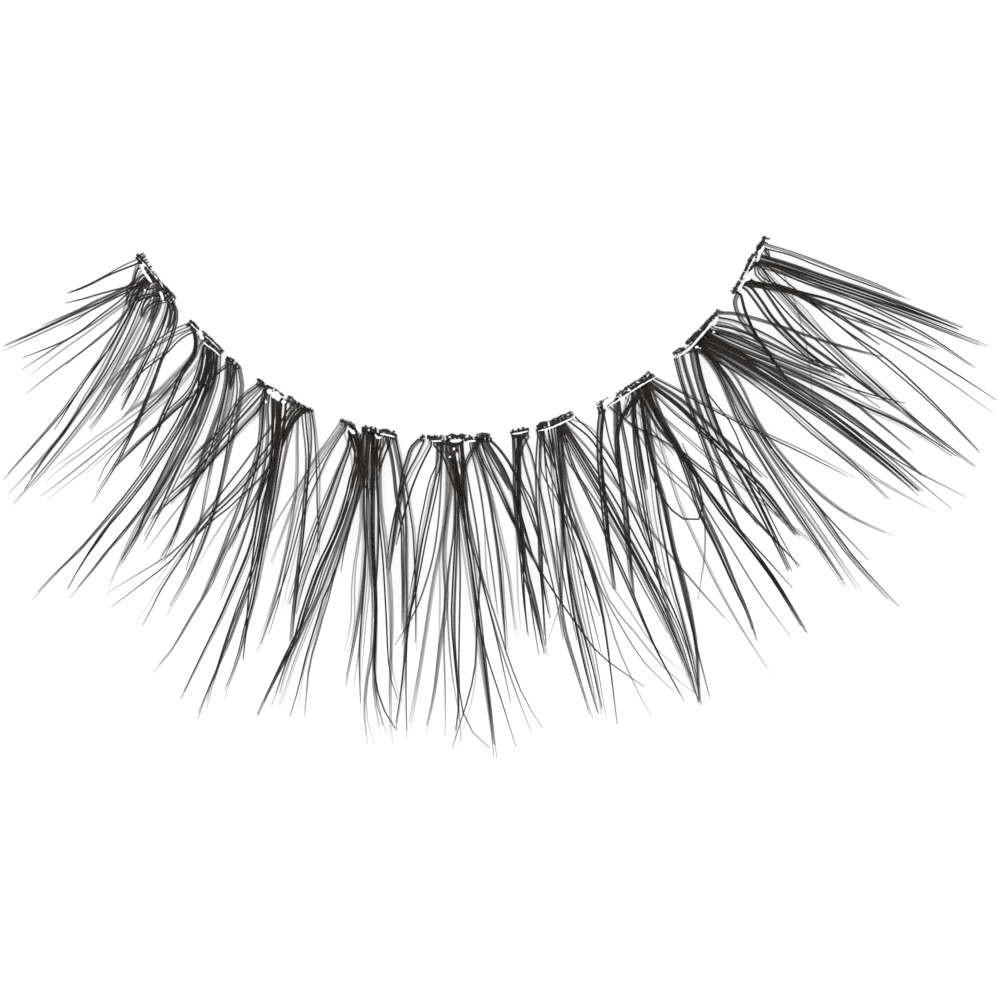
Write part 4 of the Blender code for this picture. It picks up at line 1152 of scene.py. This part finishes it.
def hair_material():
    """Synthetic lash fibre: near-black, warm brown here and there, with a soft lengthwise sheen."""
    material, links, shader, add = new_material("lash_hair")
    tone = add("ShaderNodeAttribute")
    tone.attribute_name = "tone"
    near_black = (0.0055, 0.0042, 0.0036)
    dark_brown = (0.0130, 0.0090, 0.0072)
    warm_brown = (0.0320, 0.0205, 0.0155)
    colour = ramp_of(add, ((0.0, near_black), (0.6, dark_brown), (1.0, warm_brown)))
    links.new(tone.outputs["Fac"], colour.inputs["Fac"])

    place = add("ShaderNodeTexCoord")
    stretch = add("ShaderNodeMapping", Scale=(9.0, 0.9, 1.0))
    links.new(place.outputs["UV"], stretch.inputs["Vector"])
    streaks = add("ShaderNodeTexNoise", Scale=3.0, Detail=3.0, Roughness=0.6)
    links.new(stretch.outputs["Vector"], streaks.inputs["Vector"])
    streak_shade = ramp_of(add, ((0.30, (0.55, 0.55, 0.55)), (0.75, (1.5, 1.45, 1.4))))
    links.new(streaks.outputs["Fac"], streak_shade.inputs["Fac"])
    shade = add("ShaderNodeMix")
    shade.data_type = "RGBA"
    shade.blend_type = "MULTIPLY"
    shade.inputs["Factor"].default_value = 1.0
    links.new(colour.outputs["Color"], shade.inputs["A"])
    links.new(streak_shade.outputs["Color"], shade.inputs["B"])
    links.new(shade.outputs["Result"], shader.inputs["Base Color"])

    gloss = add("ShaderNodeMapRange", To_Min=0.34, To_Max=0.62)
    links.new(streaks.outputs["Fac"], gloss.inputs["Value"])
    links.new(gloss.outputs["Result"], shader.inputs["Roughness"])
    bump = add("ShaderNodeBump", Strength=0.25, Distance=0.000004)
    links.new(streaks.outputs["Fac"], bump.inputs["Height"])
    links.new(bump.outputs["Normal"], shader.inputs["Normal"])
    shader.inputs["Specular IOR Level"].default_value = 0.30

    # The finer fibres, and all of them towards the tip, let more light past
    share = add("ShaderNodeAttribute")
    share.attribute_name = "share"
    body = add("ShaderNodeMapRange", From_Min=0.88, From_Max=1.0, To_Min=1.0, To_Max=0.45)
    links.new(share.outputs["Fac"], body.inputs["Value"])
    fibre = add("ShaderNodeMapRange", From_Min=0.0, From_Max=1.0, To_Min=0.98, To_Max=0.24)
    links.new(tone.outputs["Fac"], fibre.inputs["Value"])
    density = add("ShaderNodeMath")
    density.operation = "MULTIPLY"
    links.new(body.outputs["Result"], density.inputs[0])
    links.new(fibre.outputs["Result"], density.inputs[1])
    links.new(density.outputs["Value"], shader.inputs["Alpha"])
    material.use_transparent_shadow = False
    return material


def painted_highlight_glue_material():
    """Set lash glue, painted milky white as the glossy highlight of clear glue; wet-looking and slightly
    uneven.
    """
    material, links, shader, add = new_material("glue_painted_highlight")
    place = add("ShaderNodeTexCoord")
    cloud = add("ShaderNodeTexNoise", Scale=9000.0, Detail=2.0)
    links.new(place.outputs["Object"], cloud.inputs["Vector"])
    # Painted highlight: the near-white colour stands in for the gloss of clear glue
    colour = ramp_of(add, ((0.35, (0.80, 0.80, 0.80)), (0.65, (0.93, 0.93, 0.94))))
    links.new(cloud.outputs["Fac"], colour.inputs["Fac"])
    links.new(colour.outputs["Color"], shader.inputs["Base Color"])
    gloss = add("ShaderNodeMapRange", To_Min=0.08, To_Max=0.25)
    links.new(cloud.outputs["Fac"], gloss.inputs["Value"])
    links.new(gloss.outputs["Result"], shader.inputs["Roughness"])
    bump = add("ShaderNodeBump", Strength=0.3, Distance=0.000006)
    links.new(cloud.outputs["Fac"], bump.inputs["Height"])
    links.new(bump.outputs["Normal"], shader.inputs["Normal"])
    shader.inputs["IOR"].default_value = 1.47
    return material


def band_material():
    """Clear flexible band: thin, faintly milky, and denser where it is seen on edge."""
    material, links, shader, add = new_material("clear_band_film")
    place = add("ShaderNodeTexCoord")
    grain = add("ShaderNodeTexNoise", Scale=2500.0, Detail=3.0)
    links.new(place.outputs["Object"], grain.inputs["Vector"])
    colour = ramp_of(add, ((0.3, (0.86, 0.87, 0.89)), (0.7, (0.94, 0.95, 0.96))))
    links.new(grain.outputs["Fac"], colour.inputs["Fac"])
    links.new(colour.outputs["Color"], shader.inputs["Base Color"])
    gloss = add("ShaderNodeMapRange", To_Min=0.06, To_Max=0.20)
    links.new(grain.outputs["Fac"], gloss.inputs["Value"])
    links.new(gloss.outputs["Result"], shader.inputs["Roughness"])
    edge = add("ShaderNodeLayerWeight", Blend=0.35)
    density = add("ShaderNodeMapRange", To_Min=0.16, To_Max=0.70)
    links.new(edge.outputs["Facing"], density.inputs["Value"])
    links.new(density.outputs["Result"], shader.inputs["Alpha"])
    bump = add("ShaderNodeBump", Strength=0.15, Distance=0.000005)
    links.new(grain.outputs["Fac"], bump.inputs["Height"])
    links.new(bump.outputs["Normal"], shader.inputs["Normal"])
    shader.inputs["IOR"].default_value = 1.45
    return material


def floor_material():
    """Plain pale floor, evenly lit from below as a light table is."""
    material, links, shader, add = new_material("pale_floor")
    grain = add("ShaderNodeTexNoise", Scale=40.0, Detail=2.0)
    colour = ramp_of(add, ((0.4, (0.29, 0.29, 0.29)), (0.6, (0.30, 0.30, 0.30))))
    links.new(grain.outputs["Fac"], colour.inputs["Fac"])
    links.new(colour.outputs["Color"], shader.inputs["Base Color"])
    shader.inputs["Roughness"].default_value = 0.9
    shader.inputs["Specular IOR Level"].default_value = 0.1
    shader.inputs["Emission Color"].default_value = (1.0, 1.0, 1.0, 1.0)
    shader.inputs["Emission Strength"].default_value = 0.74
    return material


def add_floor():
    """Floor that the strip lies on."""
    mesh = bpy.data.meshes.new("floor")
    half = 2.0
    level = -0.000004
    corners = [(-half, -half, level), (half, -half, level), (half, half, level), (-half, half, level)]
    mesh.from_pydata(corners, [], [(0, 1, 2, 3)])
    floor = bpy.data.objects.new("floor", mesh)
    bpy.context.scene.collection.objects.link(floor)
    mesh.materials.append(floor_material())


def add_light():
    """Even white studio light: a bright surround and one broad soft source from above."""
    world = bpy.data.worlds.new("studio")
    world.use_nodes = True
    surround = world.node_tree.nodes["Background"]
    surround.inputs["Color"].default_value = (1.0, 1.0, 1.0, 1.0)
    surround.inputs["Strength"].default_value = 1.0
    bpy.context.scene.world = world
    lamp = bpy.data.lights.new("soft_key", "SUN")
    lamp.energy = 1.3
    lamp.angle = math.radians(60.0)
    key = bpy.data.objects.new("soft_key", lamp)
    key.rotation_euler = (math.radians(14.0), math.radians(-10.0), 0.0)
    bpy.context.scene.collection.objects.link(key)
    bpy.context.scene.view_settings.view_transform = "Standard"


def add_camera():
    """Camera straight above the photograph's middle, turned as the photograph is."""
    data = bpy.data.cameras.new("camera")
    data.lens = LENS
    data.sensor_width = SENSOR
    data.clip_start = CAMERA_HEIGHT / 100
    data.clip_end = CAMERA_HEIGHT * 10
    camera = bpy.data.objects.new("camera", data)
    camera.location = (CAMERA_PLAN.x, CAMERA_PLAN.y, CAMERA_HEIGHT)
    camera.rotation_euler = (0.0, 0.0, -PHOTO_TURN)
    bpy.context.scene.collection.objects.link(camera)
    bpy.context.scene.camera = camera


def add_cluster(number, hair, glue):
    """One cluster: its fan of hairs, its knots, and the glue on them."""
    cluster = CLUSTERS[number]
    rng = random.Random(number)
    fan = []
    for strand in STRANDS[number]:
        fan += strand_lines(strand, cluster.layer, rng)
    hairs = add_piece(f"lash_hairs_{number}", tube_mesh("hairs", fan, HAIR_SIDES), hair)
    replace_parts(hairs, f"lash_cluster_{number}")
    wraps = tube_mesh("wraps", tie_lines(TIES[number], rng), HAIR_SIDES)
    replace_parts(add_piece(f"knot_wraps_{number}", wraps, hair), f"lash_cluster_{number}")
    lines = tube_mesh("glue_highlight_line", glue_lines(BEADS[number], rng), GLUE_SIDES)
    add_piece(f"glue_highlight_line_{number}", lines, glue)
    drops = DROPS[number] + nick_drops(cluster, rng)
    add_piece(f"glue_highlight_drops_{number}", drop_mesh("glue_highlight_drops", drops, rng), glue)


def main():
    """Dress the whole strip."""
    add_floor()
    add_light()
    add_camera()
    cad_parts["clear_band"].material_slots[0].material = band_material()
    hair = hair_material()
    glue = painted_highlight_glue_material()
    for number in CLUSTERS:
        add_cluster(number, hair, glue)


main()
